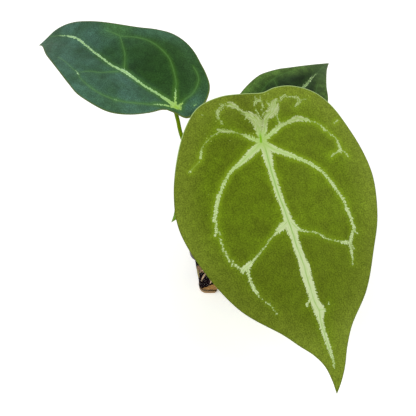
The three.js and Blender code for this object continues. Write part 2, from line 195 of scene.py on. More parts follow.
# Leaves. All lengths in mm. Outlines and veins are seen from above: along the midrib, then across it,
# from the point where the stalk joins. A vein's third value is the half width of its silver there.
frontVeins = {
    "midrib": [
        (0, 0, 2.6), (3, 0.2, 2.9), (5.6, 0.3, 2.7), (9.1, -0.1, 3), (12.6, -0.4, 2.5), (17.2, -0.9, 2),
        (21.9, -1.1, 2.1), (27.2, -1.3, 2), (32.4, -1.4, 2.1), (35.4, -1.3, 1.9), (39.5, -1, 2.1),
        (43.6, -1, 2.4), (47.1, -0.9, 2.9), (50, -0.7, 3.3), (52.9, -0.7, 3.1), (55.8, -0.6, 2.5),
        (58.7, -0.7, 2.3), (61.5, -0.7, 2.4), (64.5, -0.5, 2.6), (68, -0.3, 2.5), (70.8, -0.1, 2.8),
        (73.8, 0.1, 3.2), (77.1, -0.2, 3.1), (80.6, -0.2, 2.9), (84.1, -0.1, 2.8), (87.6, 0, 2.8),
        (91, 0, 2.7), (93.9, 0.2, 2.7), (96.8, 0.8, 3), (98.9, 1.3, 3.4), (101.8, 1, 2.5), (104.5, 0.6, 1.8),
        (107.5, 0.6, 1.6), (110.7, 0.7, 1.5), (114.6, 1, 1.4), (119.4, 1.3, 1.3), (123, 1.6, 1.2),
        (125.8, 1.9, 0.9), (128.5, 2, 0.6), (130.8, 1.9, 0.5), (133.1, 1.6, 0.2),
    ],
    "lobeLeft": [(47.4, -1.9, 1.7), (49, -5.1, 2.2), (50.3, -7.5, 1.7), (51.5, -9.5, 0.9)],
    "lobeRight": [(48, 0.3, 1.7), (50.7, 1.5, 1.7), (52.7, 2.8, 1.2), (54, 4.2, 0.7)],
    "lowerLeft": [
        (0.6, -0.2, 1.4), (3.2, -4.6, 2.3), (4.9, -8.3, 2.3), (6.4, -11.2, 2), (7.9, -14.1, 1.7),
        (9.2, -16.8, 1.4), (10.2, -19.5, 1.2), (11.3, -21.6, 1), (12.7, -23.8, 0.8), (14.8, -25.9, 0.8),
        (16.6, -27.7, 0.9), (18.2, -29.1, 1.1), (19.9, -30.4, 0.8), (21.6, -31.6, 0.9), (23.4, -33.3, 1.2),
        (24.9, -34.1, 1.1), (26.9, -35.3, 1.2), (28.9, -36.2, 1.1), (30.9, -37.2, 1.1), (33, -38, 1.1),
        (34.7, -39.1, 1.2), (36.8, -38.9, 0.8), (39.5, -39.8, 0.6), (41.1, -40, 0.8), (42.4, -40.7, 0.6),
        (43.3, -41.4, 0.3),
    ],
    "prongLow": [(41.2, -39.7, 0.4), (42.3, -38.8, 0.4), (44, -38.8, 0.3)],
    "bead1": [(45.6, -39.5, 0.3), (47.9, -39.4, 0.5), (50, -39.2, 0.4)],
    "bead2": [(51.4, -39.5, 0.5), (52.6, -39.9, 0.7)],
    "bead3": [(53.9, -38.7, 0.6), (54.5, -38.3, 0.5)],
    "bead4": [(55.5, -39.1, 0.4), (57.1, -38.5, 0.5), (59, -38.3, 0.6)],
    "bead5": [(59.1, -36.3, 0.4), (60, -36.4, 0.3)],
    "bead6": [(60.8, -37, 0.5), (61.8, -37.8, 0.5)],
    "bead7": [(62.3, -35.7, 0.7), (62.8, -35.3, 0.6)],
    "bead8": [(63.9, -34.7, 0.6), (64.4, -33.8, 0.5)],
    "patch": [
        (66, -33.6, 0.8), (65.5, -32.1, 1.6), (64.7, -30.2, 1.8), (63.5, -28, 1.4), (62.6, -26.4, 0.9),
        (61.7, -24.7, 0.6), (60.1, -22.3, 0.4), (58.3, -19.8, 0.3), (56.3, -16.9, 0.3), (53.8, -13.8, 0.3),
        (52.6, -11.6, 0.4), (51.5, -9.5, 0.8),
    ],
    "patchToe": [(66.1, -32.3, 0.9), (67.3, -33.2, 0.7)],
    "downLeft": [
        (65.4, -30.1, 1.2), (67.6, -30.3, 0.9), (69.8, -30.6, 0.8), (72.4, -30.6, 0.8), (75, -30.4, 0.9),
        (77.7, -29.8, 1.1), (80, -29, 0.8), (82.2, -28.4, 0.4),
    ],
    "bead9": [(83.7, -27.3, 0.4), (84.1, -27.2, 0.3)],
    "bead10": [
        (86.3, -25.6, 0.2), (87.7, -24.6, 0.5), (88.6, -23.9, 0.2), (90.3, -23.2, 0.2), (92.6, -22.4, 0.2),
        (94.5, -21.8, 0.2),
    ],
    "rightMain": [
        (0.6, -0.2, 1.4), (2.6, 1.4, 2), (4.6, 3.1, 2.3), (6.8, 5.3, 2.1), (8.6, 7.7, 1.8), (10.2, 10.1, 1.7),
        (12.1, 12.5, 1.6), (13.9, 14.9, 1.4), (15.8, 17.3, 1.2), (17.7, 19.7, 1), (19.8, 22, 1.1),
        (22.2, 24.2, 1.1), (24.9, 26.4, 0.8), (28.2, 28.4, 0.8), (32.5, 30, 0.9), (35.4, 31.1, 1.1),
        (38.7, 32.1, 0.9), (42.6, 33.3, 0.8), (45.5, 34.4, 0.9), (47.8, 34, 0.7), (50.2, 34.3, 1.3),
        (53, 34.7, 1), (56.1, 35.1, 1), (58.6, 34.8, 0.8), (61.3, 35, 1), (63.2, 33.4, 0.7), (65.4, 32.1, 1),
        (68, 30.7, 1.1), (70.3, 29.6, 0.8), (72.8, 29.3, 0.8), (75.6, 29, 0.6), (78.3, 28.4, 0.4),
        (80.4, 27.6, 0.2),
    ],
    "spurRight": [(62.7, 34.7, 0.5), (64, 35.1, 0.5), (64.9, 35.9, 0.4)],
    "spurDown": [(70.6, 30.8, 0.4), (72.5, 31.3, 0.3)],
    "connectRight": [
        (54, 4.2, 0.7), (55, 6.3, 0.4), (56.1, 8.9, 0.3), (57.4, 11.6, 0.3), (59, 14.1, 0.3),
        (60.8, 15.3, 0.6), (62.5, 17.2, 0.4), (64, 19.2, 0.2), (65.3, 22, 0.2), (66.3, 24.1, 0.4),
        (67.5, 26.3, 1), (68.3, 29, 1.2),
    ],
    "upperLeft": [
        (0.1, -0.7, 1), (-0.7, -2.1, 1.4), (-2.1, -4, 1.3), (-3.8, -5.8, 1.3), (-5.2, -7.3, 1.2),
        (-6, -8.6, 0.7), (-7, -9.8, 0.3), (-8.2, -11.6, 0.2), (-9.5, -13.5, 0.7), (-10.5, -15.5, 1.1),
        (-12, -19, 1.2), (-13.5, -21, 0.9),
    ],
    "leftArc": [
        (-12, -20, 0.6), (-11.5, -22, 0.4), (-11, -24.5, 0.2), (-8.5, -29.5, 0.2), (-6.5, -32.3, 0.1),
        (-4, -34, 0.6), (-0.5, -35.5, 0.6),
    ],
    "leftTail": [(1, -36.5, -0.2), (2.5, -39, -0.3), (4, -41.5, -0.2), (5.5, -43.5, 0.3)],
    "upperLeftFan": [
        (-1.3, -0.1, 0.9), (-3.3, 0, 1.1), (-5.5, 0.1, 1.4), (-7.6, 0.5, 2.1), (-9.6, 1, 2.7),
        (-11.5, 1.1, 2.9), (-13.1, 0.7, 2.7), (-14.8, -0.4, 2.5), (-16.6, -1.6, 2.1), (-17.7, -2.7, 1.5),
        (-18.4, -3.9, 0.9), (-19.2, -4.8, 0.8), (-20.5, -5.2, 0.9), (-21.7, -6, 0.8), (-22.8, -6.4, 0.9),
        (-24, -7.2, 1.2), (-24.8, -8.4, 1.8), (-25.6, -9.3, 1.7), (-25.9, -10.4, 1), (-26, -11.7, 0.6),
        (-26.2, -12.3, 0.2), (-26.3, -13.1, 0.6), (-25.9, -14, 0.9), (-25.2, -14.9, 0.8), (-24.6, -15.9, 0.8),
        (-24, -17.1, 1), (-22.9, -18.1, 1.2), (-21.8, -18.6, 0.9), (-20.5, -18.6, 0.7), (-19.2, -18.5, 0.5),
        (-18.5, -18.4, 0.1), (-17.7, -18.2, 0.4), (-16.5, -17.9, 0.5), (-15.8, -17.6, 0.2),
    ],
    "hookStub": [(-26.3, -13.6, 0.4), (-27.1, -13.9, 0.4), (-27.8, -14.4, 0.2)],
    "filament": [
        (-11.3, 3.7, 0.9), (-13.1, 3.8, 0.7), (-14.7, 3.7, 0.6), (-16.3, 3.7, 0.5), (-18, 3.5, 0.4),
        (-19.5, 3.5, 0.2),
    ],
    "drop": [(-16.1, -3, 0.8), (-15.4, -4, 0.5), (-14.9, -4.7, 0.2)],
    "dropDot": [(-13.1, -2.5, 0.3), (-12.5, -2.8, 0.3)],
    "streak": [(-14.2, 5.7, 0.3), (-15.1, 6.9, 0.4), (-15.3, 7.9, 0.2)],
    "upperRightFan": [
        (-1.1, 0.3, 0.9), (-3.5, 1.8, 1.2), (-5.7, 3.7, 1.3), (-8.4, 4.9, 1.4), (-11.1, 6.5, 1.4),
        (-12.6, 7.9, 1.6), (-13.7, 9.6, 2.2), (-14.7, 11.7, 2.8), (-15.9, 13.1, 3), (-17.2, 14, 2.8),
        (-18.2, 15, 2.3), (-19.4, 15.5, 1.8), (-20.4, 16.5, 1.1), (-21.2, 17.1, 0.5), (-20, 18, 0),
        (-20.3, 19.4, 0.5), (-21.5, 20.7, 0.7), (-22, 21.7, 0.9), (-22.5, 23.2, 0.6), (-21.1, 23.6, 0.4),
        (-21, 24.9, 0.4), (-20.6, 26.9, 0.5), (-19.5, 28.8, 0.6), (-18.2, 30, 0.8), (-16.3, 29.8, 0.8),
        (-15.4, 28.1, 0.6), (-14.3, 26.4, 0.5),
    ],
    "spike": [(-18.3, 12.6, 0.9), (-19.4, 11.8, 0.6), (-20.6, 11.4, 0.4), (-21.9, 11.1, 0.2)],
    "prong": [(-18.8, 12.9, 0.5), (-20.3, 13.2, 0.3), (-21, 13.4, 0.2)],
    "twig": [(-17, 30.5, 0.4), (-17, 33, 0.2), (-17, 35.5, 0.1)],
    "inner": [(-12.5, 13.9, 0.5), (-10.7, 13.5, 0.5), (-8.9, 13.4, 0.7), (-7, 13.4, 0.5)],
    "upperRight": [
        (0, 0, 1), (-0.6, 1.7, 1.3), (-1.4, 3.9, 1.4), (-2.4, 6, 1.3), (-3.5, 8.6, 1.5), (-4.8, 11.3, 1.5),
        (-5.7, 13.8, 1.4), (-6.1, 16.5, 1.1), (-6.5, 19.1, 1.3), (-7, 21.9, 1.6), (-7, 24.5, 1.8),
        (-6.8, 26.4, 1.8), (-5.6, 28.3, 1.4), (-4.8, 30.3, 1.1), (-3.5, 32, 0.3), (-2.5, 34, 0.1),
        (-1, 36, 0.2), (1, 37.5, 0.3), (3, 38, 0.9), (4, 39.5, 0.1), (7, 41, 0.3), (8.5, 42.5, 0.3),
        (11, 43.5, 0.2), (13, 43.5, 0.8), (15.5, 43.5, 0.9), (17.5, 43, 1.1), (18, 44.5, 0.1),
        (20.5, 46, 0.4), (21.5, 46.5, 0.2),
    ],
    "branch": [(17.5, 42.5, 0.8), (18, 39.5, 0.2), (18.5, 37.5, 0.6), (19.5, 35.5, 0.1)],
    "crownPatch": [(-26.6, 6.2, 0.2), (-25, 5.8, 0.5), (-23.5, 5.5, 0.9), (-22.5, 4.3, 0.8), (-21, 3.7, 0.3)],
    "crownLink": [(-23.4, 5.8, 0.7), (-23.2, 7.1, 0.7), (-22.9, 8.2, 0.8)],
    "crownTwig": [
        (-25.8, 8.7, 0.2), (-24.5, 8.7, 0.4), (-23.2, 8.5, 0.7), (-22, 8.2, 0.4), (-20.8, 8.1, 0.4),
        (-19.2, 8, 0.5), (-17.9, 7, 0.4), (-16.7, 6.2, 0.2),
    ],
    "leftDot": [(-24.5, -26.5, 0.4), (-24.2, -26.2, 0.4)],
    "topDot": [(-26, 13.5, 0.4), (-25.8, 13.8, 0.4)],
    "rightDash": [(1, 46.5, 0.2), (0, 49, 0.4)],
    "stub": [(91.9, -0.9, 0.6), (93.2, -3.3, 0.7), (94.2, -4.8, 0.7), (94.9, -4.4, 0.6)],
    "nub": [(99.1, 1.8, 1.7), (99.7, 4.1, 0.8), (100.7, 5, 0.4)],
    "lowDash": [(96.6, 7.6, 0.3), (97.8, 7.8, 0.4)],
}
leftVeins = {
    "midrib": [
        (-2, -0.7, 0.8), (-0.7, -0.1, 1.5), (0.5, 0.2, 1.9), (2.4, 0.4, 1.8), (4.4, 0.6, 1.5),
        (7.6, 1.1, 1.3), (10.9, 1.3, 1.1), (14.1, 1.7, 1.1), (17.2, 2.4, 1.1), (22, 2.8, 1.1),
        (29.5, 2.5, 1.2), (33.5, 2.2, 1.4), (37, 2.2, 1.5), (39.5, 2.5, 1.1), (45.5, 2.8, 0.9),
        (54.5, 1, 0.8), (63.5, -1, 0.5), (68.5, -2.5, 0.55), (73.5, -4, 0.8), (77.5, -5.3, 1), (81, -6, 0.95),
        (85.5, -6.5, 0.75), (89.5, -6.6, 0.45), (98, -6.5, 0.1), (106, -6, -0.3),
    ],
    "upper": [
        (0.3, 0.4, 1.1), (2, -1.4, 1.1), (3.2, -2.8, 1), (4.7, -5.4, 0.8), (6.1, -7.3, 0.4), (7, -8.5, 0),
        (8.5, -11.5, -0.3), (12, -15, -0.6), (15.5, -18, -0.6), (20, -21, -0.7), (25.5, -22.5, -0.7),
        (31.5, -23, -0.7), (36, -22.5, -0.8), (41, -21, -0.8), (45.5, -19, -0.8), (51.5, -16.3, -0.8),
        (56.5, -15.8, -0.9), (63.5, -15.5, -1),
    ],
    "connectUpper": [
        (37.5, 0.5, 0.2), (39.5, -2.5, -0.5), (43, -7.5, -0.8), (47.5, -11.5, -0.8), (53, -16, -0.8),
    ],
    "lower": [
        (-0.2, 0.7, 0.9), (1.4, 1.8, 0.8), (2.7, 2.9, 0.7), (4.9, 4.7, 0.5), (6.8, 6.9, 0.4), (8.7, 9, 0.3),
        (10.5, 11.5, -0.4), (15, 16, -0.5), (21, 21, -0.5), (24, 22.5, -0.4), (25.3, 23.2, 0.3),
        (27, 23.7, -0.4), (33.5, 25, -0.6), (38.5, 25, -0.6), (44, 24.3, -0.6), (49.5, 23, -0.6),
        (54, 21.5, -0.6), (57.5, 19.2, 0.2), (59, 18.3, 0.3), (62.5, 17.5, -0.5), (68, 15.5, -0.7),
        (75, 13, -0.9), (82, 11, -1),
    ],
    "connectLower": [(39, 4.5, 0.1), (43, 8.5, -0.8), (47, 12, -0.9), (52.5, 14, -0.9), (57, 17.5, -0.8)],
    "right": [
        (-0.3, -0.1, 0.9), (-0.4, -1.5, 0.8), (-0.5, -2.9, 0.6), (-0.6, -4.1, 0.4), (-0.5, -5.4, 0.1),
        (-0.5, -7.5, -0.6), (-1.5, -12, -0.7), (-1.5, -16.5, -0.7), (-0.5, -20.5, -0.7), (0.5, -23, -0.8),
        (3.5, -25.5, -0.9), (7, -27, -1),
    ],
    "heel": [(-1.2, 0.1, 0.7), (-1.5, -1.1, 0.9), (-1.6, -2, 0.5)],
    "speck": [(-6, -8.5, 0.1), (-6.5, -10.5, 0.2)],
}
backVeins = {
    "midrib": [
        (0, 0, 1.8), (10, -0.8, 1.6), (24, -2.4, 1.5), (36, -4, 1.5), (43, -4.5, 1.3), (51, -3.6, 1.1),
        (54.5, -3.1, 0.9), (58, -3, 0.5), (61, -2.8, 0), (65.5, -2, -0.6), (77, -0.5, -1),
    ],
    "leftSide": [(0, 0, 1), (8, 7, 0.2), (17, 12, -0.4), (26, 13.4, -0.6), (36, 12.5, -0.8), (48, 8.5, -0.9)],
    "rightSide": [
        (0, 0, 1), (8, -8.5, 0.2), (16, -14.5, -0.3), (26, -16.6, -0.6), (37, -15, -0.8), (50, -9.5, -1),
    ],
    "leftCrown": [(0, 0, 0.9), (-5, 6, 0.2), (-5.5, 12, -0.5), (-0.5, 16.2, -0.8)],
    "rightCrown": [(0, 0, 0.9), (-5.5, -6, 0.2), (-5, -13, -0.5), (1, -19, -0.8)],
    "connectLeft": [(22, -2.2, 0.5), (27, 4, -0.8), (32.5, 12.8, -0.8)],
    "connectRight": [(24, -2.5, 0.5), (29, -9, -0.8), (33.5, -15.6, -0.8)],
}
smallVeins = {
    "midrib": [(0, 0, 1.1), (8, 0.2, 0.9), (18, 0.4, 0.8), (27, 0.4, 0.4), (34, 0.2, -0.4), (40, 0, -1)],
    "leftSide": [(0, 0, 0.7), (5, 4.5, 0.2), (11, 7.6, -0.3), (18, 7.2, -0.5), (26, 4.5, -0.8)],
    "rightSide": [(0, 0, 0.7), (5, -4.5, 0.2), (11, -7.4, -0.3), (18, -6.6, -0.5), (26, -3.8, -0.8)],
    "leftCrown": [(0, 0, 0.6), (-4, 4, 0), (-3.2, 8.6, -0.7)],
    "rightCrown": [(0, 0, 0.6), (-4, -3.6, 0), (-3, -8.2, -0.7)],
}
leaves = {
    "front": {
        "junction": (12, -2.5, 124), "tip": (54.1, -115.1, 37), "roll": 3.3,
        "arch": 11.7, "fold": 0, "curl": 6, "twist": 0, "waves": 5, "waveHeight": 0.9,
        "grid": 0.62, "silverInset": 0.15, "slit": [(0.4, -0.7), (-7.5, 1.4)], "veins": frontVeins,
        "outline": [
            (148.5, 0), (142, 4), (134, 8), (124, 12), (113, 18.2), (97, 32), (76, 43.5), (60, 51.5),
            (38, 57.5), (23, 57.5), (5, 54), (-10, 49), (-20, 41.5), (-27, 29), (-28.5, 18.5), (-27.5, 11),
            (-30, 0), (-32, -13), (-29.5, -27), (-21, -37), (-6, -47), (16, -56), (35, -58.7), (60, -53),
            (87, -40.2), (107, -21.2), (115, -14.6), (123, -7.6), (131, -3), (140, -0.8),
        ],
    },
    "left": {
        "junction": (-36.7, 29.8, 118), "tip": (-126.4, 94.3, 108), "roll": 0,
        "arch": 15, "fold": 12, "curl": 6, "twist": 14, "waves": 4, "waveHeight": 0.7,
        "grid": 0.66, "silverInset": 0.4, "slit": [(-0.8, 0.1), (0.9, 0.5)], "veins": leftVeins,
        "outline": [
            (111, 0), (106.5, 1.5), (94, 10), (79, 18), (57, 28.5), (46, 32.5), (27, 33.5), (19, 31),
            (12, 25.5), (7, 18), (3.5, 8), (-1, 4.5), (-7, 1), (-9, -8), (-9, -17), (-6, -25), (-1, -29),
            (5, -32), (12.5, -35.5), (20.5, -37), (28.5, -36), (37, -32), (46.5, -26.5), (57, -22.5),
            (80, -17.5), (91, -15.6), (99, -13.4), (105, -10), (108.2, -5.2),
        ],
    },
    "back": {
        "junction": (11.5, 34.2, 96), "tip": (61.7, 101.1, 86), "roll": 8,
        "arch": 10, "fold": 6, "curl": 5, "twist": 0, "waves": 4, "waveHeight": 0.6,
        "grid": 0.66, "silverInset": 0.3, "slit": [(-0.5, 0), (0.5, 0)], "veins": backVeins,
        "outline": [
            (84.2, 0), (76.5, 1), (65, 4.5), (51.5, 10.6), (42.5, 15.8), (35, 19), (28.5, 21), (16, 22),
            (4, 21), (-5, 17.5), (-12, 11), (-14, 3), (-13, -5), (-12, -14), (-5, -22), (7, -27), (19, -28.5),
            (31, -27), (41.5, -22.7), (52.5, -15), (62, -9.6), (73, -4.2),
        ],
    },
    "small": {
        "junction": (-13.2, -2, 100), "tip": (-39.9, -26.5, 80), "roll": 0,
        "arch": 5, "fold": 2, "curl": 3, "twist": 0, "waves": 3, "waveHeight": 0.4,
        "grid": 0.5, "silverInset": 0.2, "slit": [(-0.4, 0), (0.4, 0)], "veins": smallVeins,
        "outline": [
            (41.5, 0), (37.5, 2.6), (31, 6), (23, 10.5), (13, 14.5), (3, 15), (-6, 11.5), (-9.5, 5), (-9, -1),
            (-9, -6.5), (-4, -12), (5, -14.5), (14, -13.5), (24, -9), (31, -4.5), (37, -1.2),
        ],
    },
}

blade = {
    "thickness": 0.55,
    "edgeThickness": 0.24,
    "edgeRound": 1.1,  # how far in from the margin the blade thins
    "puff": 0.55,  # rise of the blade between its veins
    "puffWidth": 7.0,
    "groove": 0.32,  # how deep the midrib is pressed into the upper face
    "grooveWidth": 0.9,
    "rib": 0.75,  # how far the midrib stands out below
    "ribWidth": 0.85,
    "calmEdge": 6.0,  # grooves and ribs come up to strength over this distance from the margin
    "foldRound": 6.0,  # how softly the two halves meet along the midrib
    "half": 40.0,  # distance from the midrib that fold, curl and twist are given for
    "ring": 0.32,  # a ring of points this far inside the margin
    "farthest": 60,  # distances past this don't matter to the looks
    "underShift": 30,  # sets the underside's patterns apart from the upper side's
    "ribbed": {"midrib": 1.0, "lowerLeft": 0.75, "rightMain": 0.75, "upper": 0.7, "lower": 0.7},
    "faint": 0.45,  # how strongly the other veins are pressed in
    "ragged": (  # silver in tatters, a little wider than drawn
        "upperLeftFan", "upperRightFan", "streak", "spike", "prong", "filament", "crownPatch", "crownLink",
        "crownTwig"),
    "raggedInset": -0.15,
}


def throughPoints(points, perPoint):
    # a centripetal curve through the points, as many values as the points have
    p = np.array(points, float)
    full = np.vstack([2 * p[0] - p[1], p, 2 * p[-1] - p[-2]])
    t = (np.arange(perPoint) / perPoint)[:, None]
    pieces = []
    for i in range(len(p) - 1):
        a, b, c, d = full[i:i + 4]
        ab, bc, cd = [np.sum((y - x) ** 2) ** 0.25 for x, y in ((a, b), (b, c), (c, d))]
        leave = ((b - a) / ab - (c - a) / (ab + bc) + (c - b) / bc) * bc
        arrive = ((c - b) / bc - (d - b) / (bc + cd) + (d - c) / cd) * bc
        pieces.append(b + leave * t + (3 * c - 3 * b - 2 * leave - arrive) * t ** 2
                      + (2 * b - 2 * c + leave + arrive) * t ** 3)
    return np.vstack(pieces + [p[-1:]])


def leafFrame(leaf):
    junction = Vector(leaf["junction"])
    along = Vector(leaf["tip"]) - junction
    length = along.length
    along.normalize()
    level = (Vector((0, 0, 1)) - along * along.z).normalized()
    turn = math.radians(leaf["roll"])
    face = level * math.cos(turn) + along.cross(level) * math.sin(turn)
    across = face.cross(along)
    seat = (face - along * (4 * leaf["arch"] / length)).normalized()
    return junction, length, along, across, face, seat


def bladeHeight(leaf, length, u, v):
    t = u / length
    arch = leaf["arch"] * 4 * t * (1 - t)
    fold = leaf["fold"] * (np.hypot(v, blade["foldRound"]) - blade["foldRound"]) / blade["half"]
    return arch + fold - leaf["curl"] * (v / blade["half"]) ** 2 - leaf["twist"] * t * v / blade["half"]


def insideOutline(points, loop):
    inside = np.zeros(len(points), bool)
    x, y = points[:, 0], points[:, 1]
    for (ax, ay), (bx, by) in zip(loop, np.roll(loop, -1, axis=0)):
        if ay != by:
            crosses = (ay > y) != (by > y)
            inside ^= crosses & (x < (bx - ax) * (y - ay) / (by - ay) + ax)
    return inside


def distanceTo(points, line):
    # distance to a line of points, that less the line's third value, the side of it, and how far along
    near = np.full(len(points), 1e9)
    free = np.full(len(points), 1e9)
    side = np.zeros(len(points))
    run = np.zeros(len(points))
    walked = 0.0
    for a, b in zip(line[:-1], line[1:]):
        step = b[:2] - a[:2]
        offset = points - a[:2]
        t = np.clip(offset @ step / max(step @ step, 1e-9), 0, 1)
        gap = offset - t[:, None] * step
        d = np.hypot(gap[:, 0], gap[:, 1])
        closer = d < near
        near[closer] = d[closer]
        side[closer] = np.sign(step[0] * offset[closer, 1] - step[1] * offset[closer, 0])
        run[closer] = walked + t[closer] * math.hypot(*step)
        walked += math.hypot(*step)
        if line.shape[1] > 2:
            free = np.minimum(free, d - a[2] - t * (b[2] - a[2]))
    return near, free, side, run


def smoothStep(x, low, high):
    t = np.clip((x - low) / (high - low), 0, 1)
    return t * t * (3 - 2 * t)


def evenLoop(leaf, spacing):
    # the margin at even steps
    dense = throughPoints(leaf["outline"] + [leaf["outline"][0]], 60)
    steps = np.hypot(*np.diff(dense, axis=0).T)
    walked = np.r_[0, np.cumsum(steps)]
    count = int(walked[-1] / spacing)
    wanted = np.arange(count) * walked[-1] / count
    return np.column_stack([np.interp(wanted, walked, dense[:, i]) for i in (0, 1)])


def marginWave(leaf, points):
    # the waved margin: the share of the way out to the margin, and where round it that ray meets
    dense = throughPoints(leaf["outline"] + [leaf["outline"][0]], 24)[:-1]
    share = np.arange(len(dense)) / len(dense)
    angle = np.maximum.accumulate(np.unwrap(np.arctan2(dense[:, 1], dense[:, 0])))
    reach = np.hypot(dense[:, 0], dense[:, 1])
    angle = np.r_[angle, angle[0] + 2 * np.pi]
    here = np.mod(np.arctan2(points[:, 1], points[:, 0]) - angle[0], 2 * np.pi) + angle[0]
    out = np.hypot(points[:, 0], points[:, 1]) / np.interp(here, angle, np.r_[reach, reach[0]])
    around = np.interp(here, angle, np.r_[share, 1.0])
    return leaf["waveHeight"] * np.minimum(out, 1) ** 3 * np.sin(2 * np.pi * leaf["waves"] * around)


def planeMesh(leaf):
    # even triangles over the outline, with a second ring of points just inside the margin
    spacing = leaf["grid"]
    loop = evenLoop(leaf, spacing)
    forward = np.roll(loop, -1, axis=0) - np.roll(loop, 1, axis=0)
    inward = np.column_stack([-forward[:, 1], forward[:, 0]])
    inward /= np.linalg.norm(inward, axis=1)[:, None]
    low, high = loop.min(0), loop.max(0)
    rows = np.arange(low[1], high[1], spacing * math.sqrt(3) / 2)
    columns = np.arange(low[0], high[0], spacing)
    grid = np.array([(x + (i % 2) * spacing / 2, y) for i, y in enumerate(rows) for x in columns])
    closed = np.vstack([loop, loop[:1]])
    inner = np.vstack([loop + inward * blade["ring"], grid])
    inner = inner[insideOutline(inner, loop)]
    far = distanceTo(inner, closed)[0]
    isRing = np.arange(len(inner)) < len(inner) - insideOutline(grid, loop).sum()
    inner = inner[np.where(isRing, far > blade["ring"] - 0.04, far > blade["ring"] + 0.45 * spacing)]
    points = np.vstack([loop, inner])
    edges = [(i, (i + 1) % len(loop)) for i in range(len(loop))]
    made = delaunay_2d_cdt([Vector(p) for p in points], edges, [], 1, 1e-6, False)
    points = np.array([tuple(p) for p in made[0]])
    triangles = np.array([f for f in made[2] if len(f) == 3])
    triangles = triangles[insideOutline(points[triangles].mean(axis=1), loop)]
    a, b, c = (points[triangles[:, i]] for i in range(3))
    facingDown = (b - a)[:, 0] * (c - a)[:, 1] - (b - a)[:, 1] * (c - a)[:, 0] < 0
    triangles[facingDown] = triangles[facingDown][:, ::-1]
    return points, triangles, closed


def rimEdges(triangles):
    # the open edges, each in the direction its triangle runs
    edges = np.vstack([triangles[:, [0, 1]], triangles[:, [1, 2]], triangles[:, [2, 0]]])
    keys = np.sort(edges, axis=1)
    order = np.lexsort((keys[:, 1], keys[:, 0]))
    keys, edges = keys[order], edges[order]
    same = np.zeros(len(keys), bool)
    match = (keys[1:] == keys[:-1]).all(axis=1)
    same[1:] |= match
    same[:-1] |= match
    return edges[~same]


def meshFrom(name, vertices, triangles, smoothFaces=True):
    data = bpy.data.meshes.new(name)
    data.vertices.add(len(vertices))
    data.vertices.foreach_set("co", np.asarray(vertices, np.float32).ravel())
    data.loops.add(len(triangles) * 3)
    data.loops.foreach_set("vertex_index", np.asarray(triangles, np.int32).ravel())
    data.polygons.add(len(triangles))
    data.polygons.foreach_set("loop_start", np.arange(len(triangles), dtype=np.int32) * 3)
    data.update(calc_edges=True)
    data.polygons.foreach_set("use_smooth", np.full(len(triangles), smoothFaces))
    data.validate()
    return data


def setField(data, name, values):
    # a number or a vector for every point of the mesh
    values = np.asarray(values, np.float32)
    kind, part = ("FLOAT", "value") if values.ndim == 1 else ("FLOAT_VECTOR", "vector")
    data.attributes.new(name, kind, "POINT").data.foreach_set(part, values.ravel())


def pointsOf(data):
    places = np.empty(len(data.vertices) * 3, np.float32)
    data.vertices.foreach_get("co", places)
    return places


def evaluated(piece, **keep):
    # the mesh that a piece's modifiers make
    graph = bpy.context.evaluated_depsgraph_get()
    return bpy.data.meshes.new_from_object(piece.evaluated_get(graph), depsgraph=graph, **keep)


def addPiece(name, data, material, slot, *nodes):
    piece = addObject(name, data)
    data.materials.clear()
    data.materials.append(material)
    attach(piece, "root")
    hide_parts(*nodes)


